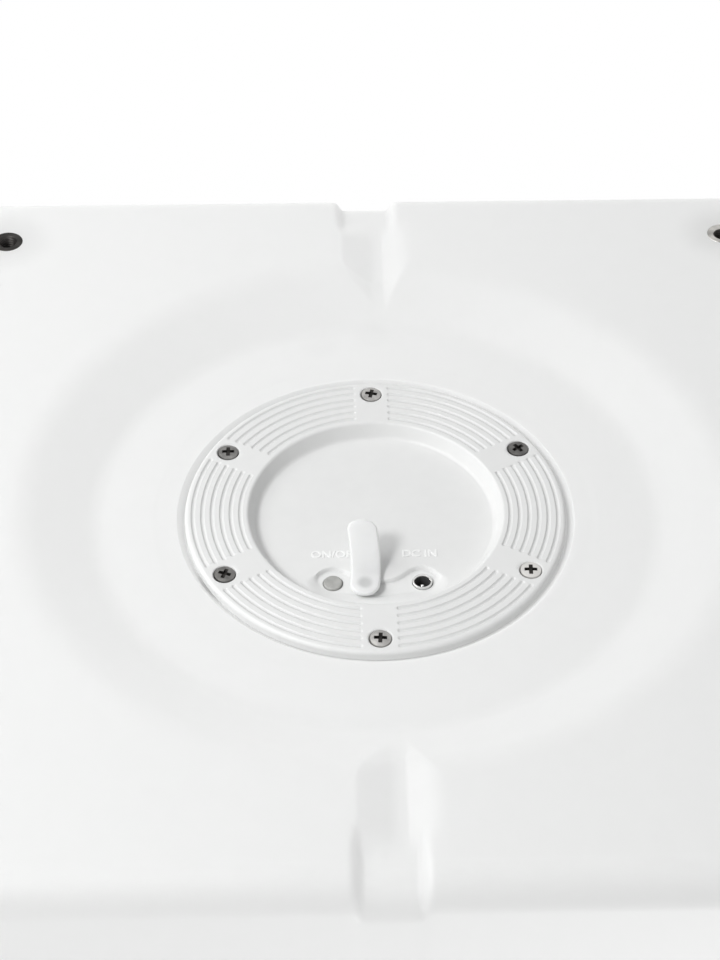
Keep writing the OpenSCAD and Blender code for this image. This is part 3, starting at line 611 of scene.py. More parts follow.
def shell_rows():
    """Rows of points of the outer skin, from the opening over base, sides and top to the middle."""
    foot, normal = outline_rays()
    reach = np.linalg.norm(foot, axis=1)
    ray = foot / reach[:, None]
    dish_r = spread(*DISH_ZONES)
    flat_r = [ray * r for r in dish_r]
    shares = np.linspace(0, 1, BASE_COUNT)[1:]
    outer = [ray * (dish_r[-1] + (reach - dish_r[-1]) * t)[:, None] for t in shares]
    rows = []
    for xy in flat_r + outer:
        rows.append(np.column_stack([xy, base_depth(xy[:, 0], xy[:, 1])]))
    foot_depth = base_depth(foot[:, 0], foot[:, 1])
    for a in np.radians(np.linspace(0, 90, EDGE_COUNT)[1:]):
        xy = foot + normal * EDGE_R * math.sin(a)
        rows.append(np.column_stack([xy, EDGE_R * (1 - math.cos(a)) + foot_depth]))
    side = foot + normal * EDGE_R
    for z in np.linspace(EDGE_R, TOP - EDGE_R, SIDE_COUNT)[1:]:
        rows.append(np.column_stack([side, np.full(len(side), z)]))
    for a in np.radians(np.linspace(90, 0, TOP_EDGE_COUNT)[1:]):
        xy = foot + normal * EDGE_R * math.sin(a)
        rows.append(np.column_stack([xy, np.full(len(xy), TOP - EDGE_R * (1 - math.cos(a)))]))
    for t in TOP_SHARES:
        rows.append(np.column_stack([foot * t, np.full(len(foot), TOP)]))
    return np.array(rows)


def skin_normals(rows):
    """Unit normals of a grid of rows, all on one side of it."""
    along = np.gradient(rows, axis=0)
    across = np.roll(rows, -1, 1) - np.roll(rows, 1, 1)
    normal = np.cross(along, across)
    return normal / np.linalg.norm(normal, axis=2, keepdims=True)


def shell_skin():
    """Points and faces of the hollow shell, without its bosses and holes."""
    outer = shell_rows()
    inward = skin_normals(outer)
    middle = np.array([0, 0, TOP / 2])
    if np.sum(inward[0, 0] * (middle - outer[0, 0])) < 0:
        inward = -inward
    reach = np.hypot(outer[:, 0, 0], outer[:, 0, 1])
    level = np.flatnonzero((reach < DISH["floor"] - LEVEL_MARGIN) & (outer[:, 0, 2] < TOP / 2))
    inward[level] = (0, 0, 1)
    inner = outer + WALL * inward
    keep = sorted(set(level) | set(range(level[-1], len(outer), INNER_STRIDE)) | {len(outer) - 1})
    rows = np.vstack([inner[keep][::-1], outer])
    return capped_grid(rows, (0, 0, TOP - WALL), (0, 0, TOP))


def build_shell(material):
    """Hollow shell with its bosses inside, and the holes for the inserts and the screw sleeves."""
    shell = make_object("shell_body", *shell_skin())
    corners = [(x * INSERT_HALF, y * INSERT_HALF) for x in (-1, 1) for y in (-1, 1)]
    screws = screw_places()
    insert_boss = rod(COLLAR_R + INSERT_BOSS, SINK_D + BOSS_START, INSERT_LEN + WALL)
    sleeve_boss = rod(SLEEVE_R + SLEEVE_BOSS, SEAT_Z + PAST, SEAT_Z + SLEEVE_LEN + SLEEVE_BOSS)
    bosses = [turned(insert_boss, MID_STEPS, c) for c in corners]
    bosses += [turned(sleeve_boss, SMALL_STEPS, s) for s in screws]
    boolean(shell, joined("bosses", bosses), "UNION")
    shoulder = SINK_D + COLLAR_T
    end = SINK_D + INSERT_LEN
    insert_hole = [(0, -PAST), (COLLAR_R, -PAST), (COLLAR_R, shoulder), (INSERT_R, shoulder),
                   (INSERT_R, end), (0, end)]
    sleeve_hole = rod(SLEEVE_R, SEAT_Z - PAST, SEAT_Z + SLEEVE_LEN)
    holes = [turned(insert_hole, STEPS, c) for c in corners]
    holes += [turned(sleeve_hole, SMALL_STEPS, s) for s in screws]
    boolean(shell, joined("holes", holes), "DIFFERENCE")
    dress(shell, material, "lamp", "shell_plastic", "shell")


def screw_places():
    """Middles of the cover screws."""
    turns = [math.radians(a) for a in SCREW_ANGLES]
    return [(SCREW_CIRCLE * math.cos(a), SCREW_CIRCLE * math.sin(a)) for a in turns]


# Cover

def cover_angles():
    """Angles of the cover's mesh in degrees, close together at the groove ends and around the pocket."""
    half = 180 / SCREW_COUNT
    values = []
    for screw in SCREW_ANGLES:
        beside_pocket = abs(screw - POCKET_ANGLE) <= 2 * half
        step = POCKET_ANGLE_STEP if beside_pocket else ANGLE_STEP
        off = spread(*ANGLE_ZONES, (ANGLE_ZONES[-1][1], half, step))
        values += [screw + off, screw - off]
    return np.unique(np.round(np.concatenate(values) % 360, 5))


def groove_depth(x, y):
    """Depth of the ring grooves, which stop with round ends at the plain strip beside each screw."""
    r = np.hypot(x, y)
    sector = 360 / SCREW_COUNT
    off = (np.degrees(np.arctan2(y, x)) - FIRST_SCREW) % sector
    off = np.radians(np.minimum(off, sector - off))
    depth = np.zeros_like(r)
    for middle in GROOVES:
        stop = math.asin((STRIP_HALF + GROOVE_HALF) / middle)
        along = np.maximum(stop - off, 0) * middle
        away = np.hypot(r - middle, along) / GROOVE_HALF
        depth = np.maximum(depth, GROOVE_D * (1 - np.clip(away, 0, 1) ** 2))
    return depth


def pocket_distance(x, y):
    """Distance outside the pocket's outline: a round lobe at each control and a bent band between."""
    lobes = np.hypot(np.abs(x) - CONTROL_X, y - CONTROL_Y) - POCKET_R
    r = np.hypot(x, y)
    middle = sum(POCKET_BAND) / 2
    half = (POCKET_BAND[1] - POCKET_BAND[0]) / 2
    off = np.abs(np.arctan2(x, -y))
    end = math.atan2(CONTROL_X, -CONTROL_Y)
    band = np.hypot(r - middle, np.maximum(off - end, 0) * middle) - half
    overlap = np.maximum(POCKET_BLEND - np.abs(lobes - band), 0) / POCKET_BLEND
    return np.minimum(lobes, band) - overlap ** 2 * POCKET_BLEND / 4


def cover_face(x, y):
    """Height of the front of the cover. The pocket's wall turns into a ramp towards the wall of the cup."""
    r = np.hypot(x, y)
    z = FACE_Z + recess(r, **CUP) + groove_depth(x, y)
    wide = POCKET_WALL + POCKET_RAMP["wide"] * ease((r - POCKET_RAMP["start"]) / POCKET_RAMP["run"])
    return z + POCKET_D * ease(0.5 - (POCKET_INSET + pocket_distance(x, y)) / wide)


def cover_profile():
    """Edge and back of the cover as (radius, z), from the end of its face to its last ring."""
    profile = []
    for a in np.radians(np.linspace(0, 90, FLANGE_EDGE_COUNT)):
        r = FLANGE_R - FLANGE_EDGE_R * (1 - math.sin(a))
        profile.append((r, FACE_Z + FLANGE_EDGE_R * (1 - math.cos(a))))
    back = FACE_Z + FLANGE_T
    lip = SEAT_Z - LIP_GAP
    groove_mid = (SKIRT_R + SKIRT_IN_R) / 2
    groove_out = groove_mid + SKIRT_GROOVE_HALF
    groove_in = groove_mid - SKIRT_GROOVE_HALF
    groove_z = SKIRT_TOP - SKIRT_GROOVE_D
    profile += [(FLANGE_R, lip - LIP_BEVEL), (FLANGE_R - LIP_BEVEL, lip), (FLANGE_R - LIP_W, lip),
                (FLANGE_R - LIP_W, back), (SKIRT_R, back), (SKIRT_R, SKIRT_TOP)]
    profile += [(groove_out, SKIRT_TOP), (groove_out, groove_z), (groove_in, groove_z),
                (groove_in, SKIRT_TOP)]
    return profile + [(SKIRT_IN_R, SKIRT_TOP), (SKIRT_IN_R, COVER_BACK), (BACK_RING_R, COVER_BACK)]


def cover_rows():
    """Rows of points of the cover, from the middle of its front round its edge to that of its back."""
    turn = np.radians(cover_angles())
    ring = np.stack([np.cos(turn), np.sin(turn)], -1)
    groove_offsets = GROOVE_HALF * np.sin(np.linspace(-np.pi / 2, np.pi / 2, GROOVE_ROWS))
    radii = [spread(*COVER_ZONES)]
    radii += [g + groove_offsets for g in GROOVES]
    radii.append([FLANGE_R - FLANGE_EDGE_R - FACE_MARGIN])
    rows = []
    for r in np.unique(np.concatenate(radii)):
        xy = ring * r
        rows.append(np.column_stack([xy, cover_face(xy[:, 0], xy[:, 1])]))
    for r, z in cover_profile():
        rows.append(np.column_stack([ring * r, np.full(len(ring), z)]))
    return np.array(rows)


def build_cover(material):
    """Cover with the holes for its controls and the seats of its screws."""
    cover = make_object("cover", *capped_grid(cover_rows(), (0, 0, CUP_Z), (0, 0, COVER_BACK)))
    button_hole = rod(BUTTON_R + BUTTON_FIT, CUP_Z, COVER_HOLE_TOP)
    socket_hole = rod(SOCKET_R + SOCKET_FIT, CUP_Z, COVER_HOLE_TOP)
    stud_hole = rod(STUD_HOLE_R, CUP_Z, COVER_HOLE_TOP)
    holes = [turned(button_hole, MID_STEPS, (CONTROL_X, CONTROL_Y)),
             turned(socket_hole, MID_STEPS, (-CONTROL_X, CONTROL_Y)),
             turned(stud_hole, SMALL_STEPS, (STUD_X, STUD_Y))]
    seat_r = HEAD_R + HEAD_GAP
    hole_r = SCREW_R + SCREW_FIT
    front = FACE_Z - PAST
    behind = FACE_Z + FLANGE_T + PAST
    mouth = [(seat_r + out, FACE_Z + up) for out, up in SEAT_MOUTH]
    seat = [(0, front), (mouth[0][0], front), *mouth, (seat_r, FACE_Z + HEAD_SEAT),
            (hole_r, FACE_Z + HEAD_SEAT), (hole_r, behind), (0, behind)]
    holes += [turned(seat, STEPS, s) for s in screw_places()]
    boolean(cover, joined("holes", holes), "DIFFERENCE")
    dress(cover, material, "lamp", "cover_plastic", "led_cover")


def build_gasket(material):
    """Flat gasket inside the lip of the flange, with a hole for each screw."""
    back = FACE_Z + FLANGE_T
    edge = FLANGE_R - LIP_W - GASKET_GAP
    ring = [(OPENING_R, back), (edge, back), (edge, SEAT_Z), (OPENING_R, SEAT_Z)]
    gasket = make_object("gasket", *turned(ring, WIDE_STEPS))
    hole = rod(SCREW_R + SCREW_FIT, back - PAST, SEAT_Z + PAST)
    holes = [turned(hole, SMALL_STEPS, place) for place in screw_places()]
    boolean(gasket, joined("holes", holes), "DIFFERENCE")
    dress(gasket, material, "lamp", "gasket_rubber", "flange_gasket")


# Metal pieces

def cross_tool(half_len, half_w, top, bottom, taper, turn, centre):
    """Solid of a cross recess that narrows with its depth."""
    a, b = half_len, half_w
    outline = np.array([(a, -b), (a, b), (b, b), (b, a), (-b, a), (-b, b), (-a, b), (-a, -b), (-b, -b),
                        (-b, -a), (b, -a), (b, -b)])
    turned_by = spin(turn)
    low = outline @ turned_by.T + centre
    high = taper * outline @ turned_by.T + centre
    count = len(outline)
    points = np.vstack([np.column_stack([low, np.full(count, top)]),
                        np.column_stack([high, np.full(count, bottom)])])
    faces = [[k, (k + 1) % count, count + (k + 1) % count, count + k] for k in range(count)]
    faces += [list(range(count)), list(range(2 * count - 1, count - 1, -1))]
    return points, faces


def crown_drop(share):
    """How far a screw's crown lies behind its middle, at a share of the head's radius."""
    return CROWN_H * share ** CROWN_POWER


def in_cross(point, centre, top):
    """True below the crown of a screw head, inside the reach of its cross recess."""
    r = from_line(point, centre)
    skin = top + crown_drop(r / HEAD_R) + CROSS_SKIN
    return r < CROSS_HALF and skin < point.z < top + CROSS_D + CROSS_MARGIN


def build_screws(tones, recess_shade):
    """Pan head screws of the cover, each with its own painted grey for the reflection its head shows and
    its own turn of the cross, with painted shade on the faces of its recess.
    """
    seat = FACE_Z + HEAD_SEAT
    top = seat - HEAD_H
    end = seat + SCREW_LEN
    crown = [(HEAD_R * s, top + crown_drop(s)) for s in CROWN_SHARES]
    head = [(0, top), *crown, (HEAD_R, top + CROWN_H + HEAD_EDGE), (HEAD_R, seat - HEAD_BEVEL),
            (HEAD_R - HEAD_BEVEL, seat)]
    shank = [(SCREW_R, seat), (SCREW_R, end - SCREW_TIP), (SCREW_R - SCREW_TIP_IN, end), (0, end)]
    for k, place in enumerate(screw_places()):
        screw = make_object(f"flange_screw_{k + 1}", *turned(head + shank, MID_STEPS, place))
        cross = cross_tool(CROSS_HALF, CROSS_W / 2, top - CROSS_PAST, top + CROSS_D, CROSS_TAPER,
                           math.radians(CROSS_TURNS[k]), place)
        boolean(screw, make_object("cross", *cross), "DIFFERENCE")
        dress(screw, tones[k], "lamp", "screw_steel", "flange_screws")
        # Painted shade: the faces of the cross recess take near-black steel
        paint(screw, recess_shade, lambda p: in_cross(p, place, top))


def in_thread(point, centre):
    """True on the thread of a corner insert."""
    r = from_line(point, centre)
    return r < BORE_R + THREAD_D and SINK_D + MOUTH_D < point.z < SINK_D + BORE_D + THREAD_MARGIN


def build_inserts(tones, thread_shade):
    """Threaded inserts in the corners of the base, with a real thread in their holes that is painted
    near-black as the shade in the hole.
    """
    steps = MID_STEPS
    turn = np.linspace(0, 1, steps, endpoint=False)
    thread_z = np.arange(BORE_D - THREAD_END, THREAD_FROM, -THREAD_PITCH / THREAD_ROWS)[::-1]
    outside = [(0, INSERT_LEN), (INSERT_R - INSERT_BEVEL, INSERT_LEN),
               (INSERT_R, INSERT_LEN - INSERT_BEVEL), (INSERT_R, COLLAR_T), (COLLAR_R, COLLAR_T),
               (COLLAR_R, COLLAR_BEVEL), (COLLAR_R - COLLAR_BEVEL, 0), (BORE_R + MOUTH_OUT, 0),
               (BORE_R + MOUTH_IN, MOUTH_D)]
    bore = [(BORE_R, z) for z in thread_z] + [(BORE_R, BORE_D), (0, BORE_D)]
    profile = [(r, z + SINK_D) for r, z in outside + bore]
    first = (len(outside) - 1) * steps
    wave = np.abs(((thread_z[:, None] / THREAD_PITCH + turn[None, :]) % 1) * 2 - 1)
    grow = (BORE_R + THREAD_D * wave).reshape(-1) / BORE_R
    threaded = slice(first, first + len(grow))
    for k, (x, y) in enumerate([(-1, -1), (1, -1), (1, 1), (-1, 1)]):
        centre = (x * INSERT_HALF, y * INSERT_HALF)
        points, faces = turned(profile, steps, centre)
        flat = points[threaded, :2] - centre
        points[threaded, :2] = centre + flat * grow[:, None]
        insert = make_object(f"corner_insert_{k + 1}", points, faces)
        dress(insert, tones[k], "lamp", "insert_steel", "corner_inserts")
        # Painted shade: the thread in the hole takes near-black steel
        paint(insert, thread_shade, lambda p: in_thread(p, centre))


def ends(node):
    """Lowest and highest z of a CAD node, in millimetres."""
    low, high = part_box(node)
    return low.z / MM, high.z / MM


def build_socket(metal, liner):
    """Plated sleeve of the charging socket with a countersunk mouth and a dark bore, and its pin."""
    centre = (-CONTROL_X, CONTROL_Y)
    low, high = ends("socket_sleeve")
    sleeve = [(SOCKET_BORE, high), (SOCKET_R, high)]
    sleeve += [(SOCKET_R - inset, low + up) for inset, up in SOCKET_EDGE]
    sleeve += [(SOCKET_BORE + out, low + up) for out, up in SOCKET_SINK]
    bore_z = low + SOCKET_SINK[-1][1]
    ring = make_object("socket_mouth", *turned(sleeve, STEPS, centre))
    dress(ring, metal, "lamp", "plated_metal", "socket_sleeve")
    paint(ring, liner, lambda p: from_line(p, centre) < SOCKET_BORE and p.z > bore_z)
    low, high = ends("socket_pin")
    tip = [(r, low + up) for r, up in PIN_TIP] + [(PIN_TIP[-1][0], high), (0, high)]
    pin = make_object("socket_contact", *turned(tip, SMALL_STEPS, centre))
    dress(pin, metal, "lamp", "plated_metal", "socket_pin")


# Soft and plastic pieces

def build_button(material):
    """Button with a slightly dished face and a rounded edge."""
    low, high = ends("button_cap")
    face = [(r, low + up) for r, up in BUTTON_FACE]
    edge = [(BUTTON_R - inset, low + up) for inset, up in BUTTON_EDGE]
    collar = COVER_BACK + BUTTON_COLLAR["gap"]
    collar_r = BUTTON_R + BUTTON_COLLAR["wide"]
    collar_top = collar + BUTTON_COLLAR["thick"]
    stem = [(BUTTON_R, collar), (collar_r, collar), (collar_r, collar_top), (BUTTON_STEM_R, collar_top),
            (BUTTON_STEM_R, high), (0, high)]
    button = make_object("push_button", *turned(face + edge + stem, STEPS, (CONTROL_X, CONTROL_Y)))
    dress(button, material, "button", "button_plastic", "button_cap")


def seal_slope(s):
    """Slope of the open seal at the distance s from its stud, in radians."""
    start, stop = SEAL_BEND
    t = np.clip((s - start) / (stop - start), 0, 1)
    return math.radians(FOLD_REST) * (t - np.sin(2 * np.pi * t) / (2 * np.pi))


def seal_path():
    """Middle line of the open seal: distances from its stud, and the y and z reached there."""
    along = np.linspace(-SEAL_HALF, SEAL_TIP, SEAL_PATH_COUNT)
    slope = seal_slope(along)
    step = along[1] - along[0]
    y = np.cumsum(np.cos(slope)) * step
    z = np.cumsum(-np.sin(slope)) * step
    zero = np.searchsorted(along, 0)
    return along, STUD_Y + (y - y[zero]), PAD_MID_Z + (z - z[zero])


def seal_x(s):
    """Middle of the seal across its length at the distance s from its stud: it leans and bows a little."""
    share = min(max(s / SEAL_TIP, 0), 1)
    return STUD_X + SEAL_LEAN * ease(share) - SEAL_BOW * math.sin(math.pi * share)


def seal_section(s, around):
    """Section of the seal at the distance s from its stud, as its width and height at angles around it."""
    near = min(s + SEAL_HALF, SEAL_TIP - s)
    end = SEAL_HALF if s < FOLD_REACH else SEAL_END
    half = SEAL_HALF * math.sqrt(max(1 - max(1 - near / end, 0) ** 2, TINY))
    drop = SEAL_EDGE - math.sqrt(max(SEAL_EDGE ** 2 - (SEAL_EDGE - min(near, SEAL_EDGE)) ** 2, 0))
    thick = SEAL_T / 2 - drop
    c, n = np.cos(around), np.sin(around)
    round_w = min(SEAL_EDGE, half)
    across = np.sign(c) * np.abs(c) ** SEAL_SQUARE * half
    inset = np.clip((np.abs(across) - (half - round_w)) / round_w, 0, 1)
    height = np.sign(n) * (thick - min(SEAL_EDGE, thick) * (1 - np.sqrt(np.maximum(1 - inset ** 2, 0))))
    dimple = DIMPLE_D * ease((DIMPLE_R - np.hypot(across, s)) / DIMPLE_R) * (n < 0)
    return across, height + dimple


def seal_strip():
    """Points and faces of the bent strip, without its stud and plug."""
    rim = np.array(SEAL_RIM)
    middle = np.arange(0, SEAL_TIP - SEAL_RIM_ZONE, SEAL_STEP)
    stations = np.concatenate([-SEAL_HALF + rim, middle, (SEAL_TIP - rim)[::-1]])
    along, path_y, path_z = seal_path()
    around = np.linspace(0, 2 * np.pi, SEAL_AROUND, endpoint=False)
    rows = []
    for s in stations:
        across, height = seal_section(s, around)
        a = seal_slope(s)
        y = np.interp(s, along, path_y) + height * math.sin(a)
        z = np.interp(s, along, path_z) + height * math.cos(a)
        rows.append(np.column_stack([seal_x(s) + across, y, z]))
    points = np.vstack(rows)
    first_end = list(range(SEAL_AROUND))
    last_end = list(range(len(points) - 1, len(points) - 1 - SEAL_AROUND, -1))
    return points, grid_faces(len(rows), SEAL_AROUND) + [first_end, last_end]


def seal_stud():
    """Points and faces of the stud that holds the pad in the cover."""
    low = SEAL_BACK - STUD_SINK
    floor = SEAL_BACK + POCKET_D
    stud = [(0, low), (STUD_FOOT_R, low), (STUD_FOOT_R, floor - STUD_BEVEL),
            (STUD_FOOT_R - STUD_BEVEL, floor), (STUD_R, floor), (STUD_R, COVER_BACK + STUD_BARB[0][1])]
    stud += [(r, COVER_BACK + up) for r, up in STUD_BARB]
    stud.append((0, COVER_BACK + STUD_BARB[-1][1]))
    return turned(stud, STUD_STEPS, (STUD_X, STUD_Y))


def seal_plug():
    """Points and faces of the plug on the free end, from the middle of the strip outwards."""
    end = PLUG_LEN + SEAL_T / 2
    profile = [(0, 0), (PLUG_R, 0), (PLUG_R, end - PLUG_BEVEL), (PLUG_R - PLUG_BEVEL, end), (0, end)]
    points, faces = turned(profile, STUD_STEPS)
    a = math.radians(FOLD_REST)
    tilt = np.array([[1, 0, 0], [0, math.cos(a), math.sin(a)], [0, -math.sin(a), math.cos(a)]])
    along, path_y, path_z = seal_path()
    root = (seal_x(PLUG_REACH), np.interp(PLUG_REACH, along, path_y), np.interp(PLUG_REACH, along, path_z))
    return points @ tilt.T + root, faces


def build_seal(material):
    """Silicone strip: a pad on its stud that bends up into the free end with its plug."""
    seal = make_object("socket_seal", *seal_strip())
    boolean(seal, make_object("stud", *seal_stud()), "UNION")
    boolean(seal, make_object("plug", *seal_plug()), "UNION")
    shade(seal)
    seal.data.materials.clear()
    seal.data.materials.append(material)
    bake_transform(seal)
    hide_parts("seal_anchor", "seal_flap")


def build_lettering(name, words, x, material):
    """Generic words raised from the cup floor, read from below, in a whiter plastic than the cover's: a
    painted highlight for the light their raised edges catch.
    """
    curve = bpy.data.curves.new(name, "FONT")
    curve.body = words
    curve.size = LETTER_SIZE * MM
    curve.align_x = "CENTER"
    curve.align_y = "CENTER"
    curve.offset = LETTER_SWELL * MM
    curve.extrude = LETTER_DEPTH * MM
    curve.bevel_depth = LETTER_BEVEL * MM
    curve.bevel_resolution = 1
    text = add_object(name, curve)
    graph = bpy.context.evaluated_depsgraph_get()
    mesh = bpy.data.meshes.new_from_object(text.evaluated_get(graph))
    bpy.data.objects.remove(text)
    place = Matrix.Translation(Vector((x, LETTER_Y, CUP_Z - LETTER_RAISE)) * MM)
    mesh.transform(place @ Matrix.Rotation(math.pi, 4, "Y"))
    dress(add_object(name, mesh), material, "lamp", "cover_plastic")


# Materials

def add_node(tree, kind, inputs=None, **settings):
    """New shader node with its settings and the values of its inputs."""
    node = tree.nodes.new(f"ShaderNode{kind}")
    for name, value in settings.items():
        setattr(node, name, value)
    for name, value in (inputs or {}).items():
        node.inputs[name].default_value = value
    return node


def surface(name, colour, rough, metal=0.0, grain=900, vary=0.03, rough_by=0.08, bump=0.02, wave=0.0,
            wave_scale=12, extra=None):
    """Procedural finish: clouded colour and roughness, fine grain, and an optional slow waviness."""
    mat = bpy.data.materials.new(name)
    mat.use_nodes = True
    tree, links = mat.node_tree, mat.node_tree.links
    shader = tree.nodes["Principled BSDF"]
    place = add_node(tree, "TexCoord")
    shader.inputs["Metallic"].default_value = metal
    for socket, value in (extra or {}).items():
        shader.inputs[socket].default_value = value

    def noise(scale, detail, seed):
        values = {"W": seed, "Scale": scale, "Detail": detail}
        tex = add_node(tree, "TexNoise", values, noise_dimensions="4D")
        links.new(place.outputs["Object"], tex.inputs["Vector"])
        return tex.outputs["Fac"]

    clouds = noise(grain / CLOUD_RATIO, detail=4, seed=1.7)
    ramp = add_node(tree, "ValToRGB")
    dark = [max(c * (1 - vary), 0) for c in colour]
    light = [min(c * (1 + vary), 1) for c in colour]
    for stop, position, tone in zip(ramp.color_ramp.elements, CLOUD_EDGES, (dark, light)):
        stop.position = position
        stop.color = (*tone, 1)
    links.new(clouds, ramp.inputs["Fac"])
    links.new(ramp.outputs["Color"], shader.inputs["Base Color"])
    fine = noise(grain, detail=3, seed=4.1)
    least, most = max(rough - rough_by, LEAST_ROUGHNESS), min(rough + rough_by, 1)
    rough_range = add_node(tree, "MapRange", {"To Min": least, "To Max": most})
    links.new(fine, rough_range.inputs["Value"])
    links.new(rough_range.outputs["Result"], shader.inputs["Roughness"])
    grain_bump = add_node(tree, "Bump", {"Strength": bump, "Distance": GRAIN_HEIGHT})
    links.new(fine, grain_bump.inputs["Height"])
    if wave:
        slow = add_node(tree, "Bump", {"Strength": wave, "Distance": WAVE_HEIGHT})
        links.new(noise(wave_scale, detail=2, seed=7.3), slow.inputs["Height"])
        links.new(slow.outputs["Normal"], grain_bump.inputs["Normal"])
    links.new(grain_bump.outputs["Normal"], shader.inputs["Normal"])
    return mat


def calc(tree, operation, first, second):
    """Output of a maths node on two inputs, each a socket or a number."""
    node = add_node(tree, "Math", operation=operation)
    for socket, value in zip(node.inputs, (first, second)):
        if isinstance(value, float):
            socket.default_value = value
        else:
            tree.links.new(value, socket)
    return node.outputs["Value"]


def spots(mat, places, inner, outer, share):
    """Level that is 1 away from the places, given in metres, and falls to a share of it at them."""
    tree = mat.node_tree
    coords = add_node(tree, "TexCoord")
    level = 1.0
    for place in places:
        gap = add_node(tree, "VectorMath", {1: place}, operation="DISTANCE")
        tree.links.new(coords.outputs["Object"], gap.inputs[0])
        values = {"From Min": inner, "From Max": outer, "To Min": share}
        fade = add_node(tree, "MapRange", values, interpolation_type="SMOOTHSTEP")
        tree.links.new(gap.outputs["Value"], fade.inputs["Value"])
        level = calc(tree, "MINIMUM", fade.outputs["Result"], level)
    return level


def dim(mat, level, glow_only=False):
    """Multiplies the glow of a finish by a level, and its colour too unless only the glow is meant."""
    tree = mat.node_tree
    shader = tree.nodes["Principled BSDF"]
    strength = shader.inputs["Emission Strength"]
    glow = strength.links[0].from_socket if strength.is_linked else strength.default_value
    tree.links.new(calc(tree, "MULTIPLY", level, glow), strength)
    if glow_only:
        return
    colour = shader.inputs["Base Color"]
    tint = add_node(tree, "VectorMath", operation="SCALE")
    tree.links.new(colour.links[0].from_socket, tint.inputs[0])
    tree.links.new(level, tint.inputs["Scale"])
    tree.links.new(tint.outputs["Vector"], colour)


def hollows(mat, reach, strength, own_only):
    """Painted shade: a level that is 1 on open surfaces and lower in hollows, within a reach in metres."""
    tree = mat.node_tree
    hollow = add_node(tree, "AmbientOcclusion", {"Distance": reach}, samples=OCCLUSION_SAMPLES,
                      only_local=own_only)
    return calc(tree, "POWER", hollow.outputs["AO"], strength)


def painted_side_glow(mat):
    """Painted side light: level of the milky shell's painted glow, rising from one side to the other along
    X.
    """
    tree = mat.node_tree
    coords = add_node(tree, "TexCoord")
    axes = add_node(tree, "SeparateXYZ")
    tree.links.new(coords.outputs["Object"], axes.inputs["Vector"])
    along = add_node(tree, "MapRange", PAINTED_GLOW_ALONG_X)
    tree.links.new(axes.outputs["X"], along.inputs["Value"])
    return along.outputs["Result"]


def materials():
    """All finishes by name, with painted shade in the hollows of the shell and the cover, around the
    shell's corner inserts and on the silicone over its stud, the shell's painted glow made stronger towards
    +X, and two darker spots on the shell.
    """
    finishes = {name: surface(name, **look) for name, look in (SLOT_FINISHES | OTHER_FINISHES).items()}
    corners = [(x * INSERT_HALF * MM, y * INSERT_HALF * MM, 0) for x in (-1, 1) for y in (-1, 1)]
    shell, cover, silicone = (finishes[name] for name in ("shell_plastic", "cover_plastic", "silicone"))
    # Painted shade: the shell's painted glow dims in its hollows
    dim(shell, hollows(shell, **SHELL_HOLLOW_SHADE), glow_only=True)
    # Painted side light: the shell's painted glow grows towards +X
    dim(shell, painted_side_glow(shell), glow_only=True)
    # Painted shade around the corner inserts
    dim(shell, spots(shell, corners, **INSERT_SHADE_SPOT))
    # Two darker spots on the shell
    dim(shell, spots(shell, DARKER_SPOT_PLACES, **DARKER_SPOT_FADE))
    # Painted shade on the silicone over the stud
    pad_face = (STUD_X * MM, STUD_Y * MM, (PAD_MID_Z - SEAL_T / 2) * MM)
    dim(silicone, spots(silicone, [pad_face], **STUD_SHADE_SPOT))
    # Painted shade: the cover's colour darkens in its grooves and corners
    dim(cover, hollows(cover, **COVER_HOLLOW_SHADE))
    return finishes


def screw_tones():
    """Steel of the six cover screws, each painted its own grey for the darker or brighter reflection its
    head shows.
    """
    tones = []
    for k, grey in enumerate(SCREW_GREYS):
        colour = [grey * share for share in SCREW_TINT]
        vary = DARK_HEAD_SPREAD if grey < BRIGHT_GREY else BRIGHT_SPREAD
        tones.append(surface(f"screw_steel_{k + 1}", colour, rough=0.36, metal=1.0, grain=3000,
                             vary=vary, rough_by=0.12, bump=0.12))
    return tones


# Stage, light and camera

def build_floor():
    """Pale floor just under the base. It is seen from above only and lets the light from below pass."""
    corners = [(-FLOOR_HALF, -FLOOR_HALF), (FLOOR_HALF, -FLOOR_HALF), (FLOOR_HALF, FLOOR_HALF),
               (-FLOOR_HALF, FLOOR_HALF)]
    mesh = bpy.data.meshes.new("floor")
    mesh.from_pydata([(x, y, FLOOR_Z) for x, y in corners], [], [[0, 1, 2, 3]])
    floor = add_object("floor", mesh)
    mat = bpy.data.materials.new("floor")
    mat.use_nodes = True
    tree, links = mat.node_tree, mat.node_tree.links
    tree.nodes.clear()
    out = add_node(tree, "OutputMaterial")
    mix = add_node(tree, "MixShader")
    top = add_node(tree, "BsdfDiffuse", {"Color": FLOOR_COLOUR})
    clear = add_node(tree, "BsdfTransparent")
    side = add_node(tree, "NewGeometry")
    links.new(side.outputs["Backfacing"], mix.inputs["Fac"])
    links.new(top.outputs["BSDF"], mix.inputs[1])
    links.new(clear.outputs["BSDF"], mix.inputs[2])
    links.new(mix.outputs["Shader"], out.inputs["Surface"])
    mesh.materials.append(mat)
    floor.visible_diffuse = False
    floor.visible_glossy = False
    floor.visible_transmission = False
    floor.visible_shadow = False


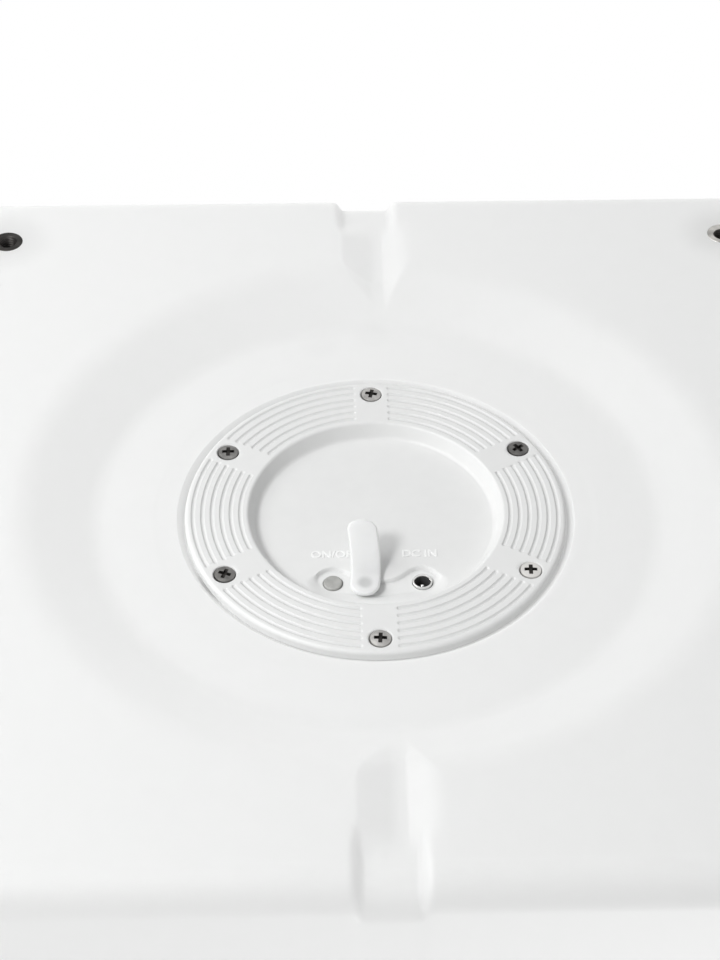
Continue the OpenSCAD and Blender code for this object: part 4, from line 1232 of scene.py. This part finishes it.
def build_world(level):
    """White for the eye, for gloss and through clear things; a plain soft level of light for the rest."""
    world = bpy.data.worlds.new("studio")
    bpy.context.scene.world = world
    world.use_nodes = True
    tree = world.node_tree
    tree.nodes.clear()
    out = add_node(tree, "OutputWorld")
    mix = add_node(tree, "MixShader")
    path = add_node(tree, "LightPath")
    seen = calc(tree, "MAXIMUM", path.outputs["Is Camera Ray"], path.outputs["Is Glossy Ray"])
    shown = calc(tree, "MAXIMUM", seen, path.outputs["Is Transmission Ray"])
    tree.links.new(shown, mix.inputs["Fac"])
    for socket, strength in zip(mix.inputs[1:], (level, SHOWN_LEVEL)):
        light = add_node(tree, "Background", {"Color": WHITE, "Strength": strength})
        tree.links.new(light.outputs["Background"], socket)
    tree.links.new(mix.outputs["Shader"], out.inputs["Surface"])


def build_lamp(name, towards, distance, size, level):
    """Square soft lamp that adds the given level of light to a white face turned to it."""
    data = bpy.data.lights.new(name, "AREA")
    data.size = size
    data.energy = level * math.pi ** 2 * distance ** 2
    lamp = add_object(name, data)
    direction = Vector(towards).normalized()
    lamp.location = direction * distance
    lamp.rotation_euler = direction.to_track_quat("Z", "Y").to_euler()


def build_camera():
    """Camera of the photo, which looks at the base from below with the cube's top away from it."""
    tilt, roll, yaw = (math.radians(a) for a in (CAMERA_TILT, CAMERA_ROLL, CAMERA_YAW))
    lean = Matrix(((1, 0, 0), (0, -math.sin(tilt), -math.cos(tilt)), (0, math.cos(tilt), -math.sin(tilt))))
    upside_down = Matrix.Diagonal((-1, 1, -1))
    to_camera = Matrix.Rotation(roll, 3, "Z") @ lean @ Matrix.Rotation(yaw, 3, "Z") @ upside_down
    flange_middle = Vector((0, 0, FACE_Z))
    data = bpy.data.cameras.new("camera")
    data.sensor_fit = "AUTO"
    data.sensor_width = SENSOR
    data.lens = FOCAL_PX / IMAGE_HEIGHT_PX * SENSOR
    data.clip_start, data.clip_end = CLIP
    camera = add_object("camera", data)
    right, down, forward = to_camera
    turn = Matrix((right, -down, -forward)).transposed()
    place = flange_middle - to_camera.transposed() @ Vector(CAMERA_OFFSET)
    camera.matrix_world = Matrix.Translation(place * MM) @ turn.to_4x4()
    bpy.context.scene.camera = camera


# Scene

finishes = materials()
slots = {part["node"]: part["material_slot"] for part in frame["record"]["subparts"]}
for node, obj in frame["nodes"].items():
    obj.data.materials.clear()
    obj.data.materials.append(finishes[slots[node]])

build_shell(finishes["shell_plastic"])
build_cover(finishes["cover_plastic"])
build_gasket(finishes["gasket_rubber"])
build_screws(screw_tones(), finishes["shade_black_steel"])
build_inserts([finishes[name] for name in INSERT_FINISHES], finishes["shade_black_steel"])
build_socket(finishes["plated_metal"], finishes["dark_bore"])
build_button(finishes["button_plastic"])
build_seal(finishes["silicone"])
for name, words, x in LETTERING:
    build_lettering(name, words, x, finishes["highlit_words"])
build_floor()
build_world(WORLD_LEVEL)
for name, lamp in LAMPS.items():
    build_lamp(name, **lamp)
build_camera()

bpy.context.scene.view_settings.view_transform = "Standard"
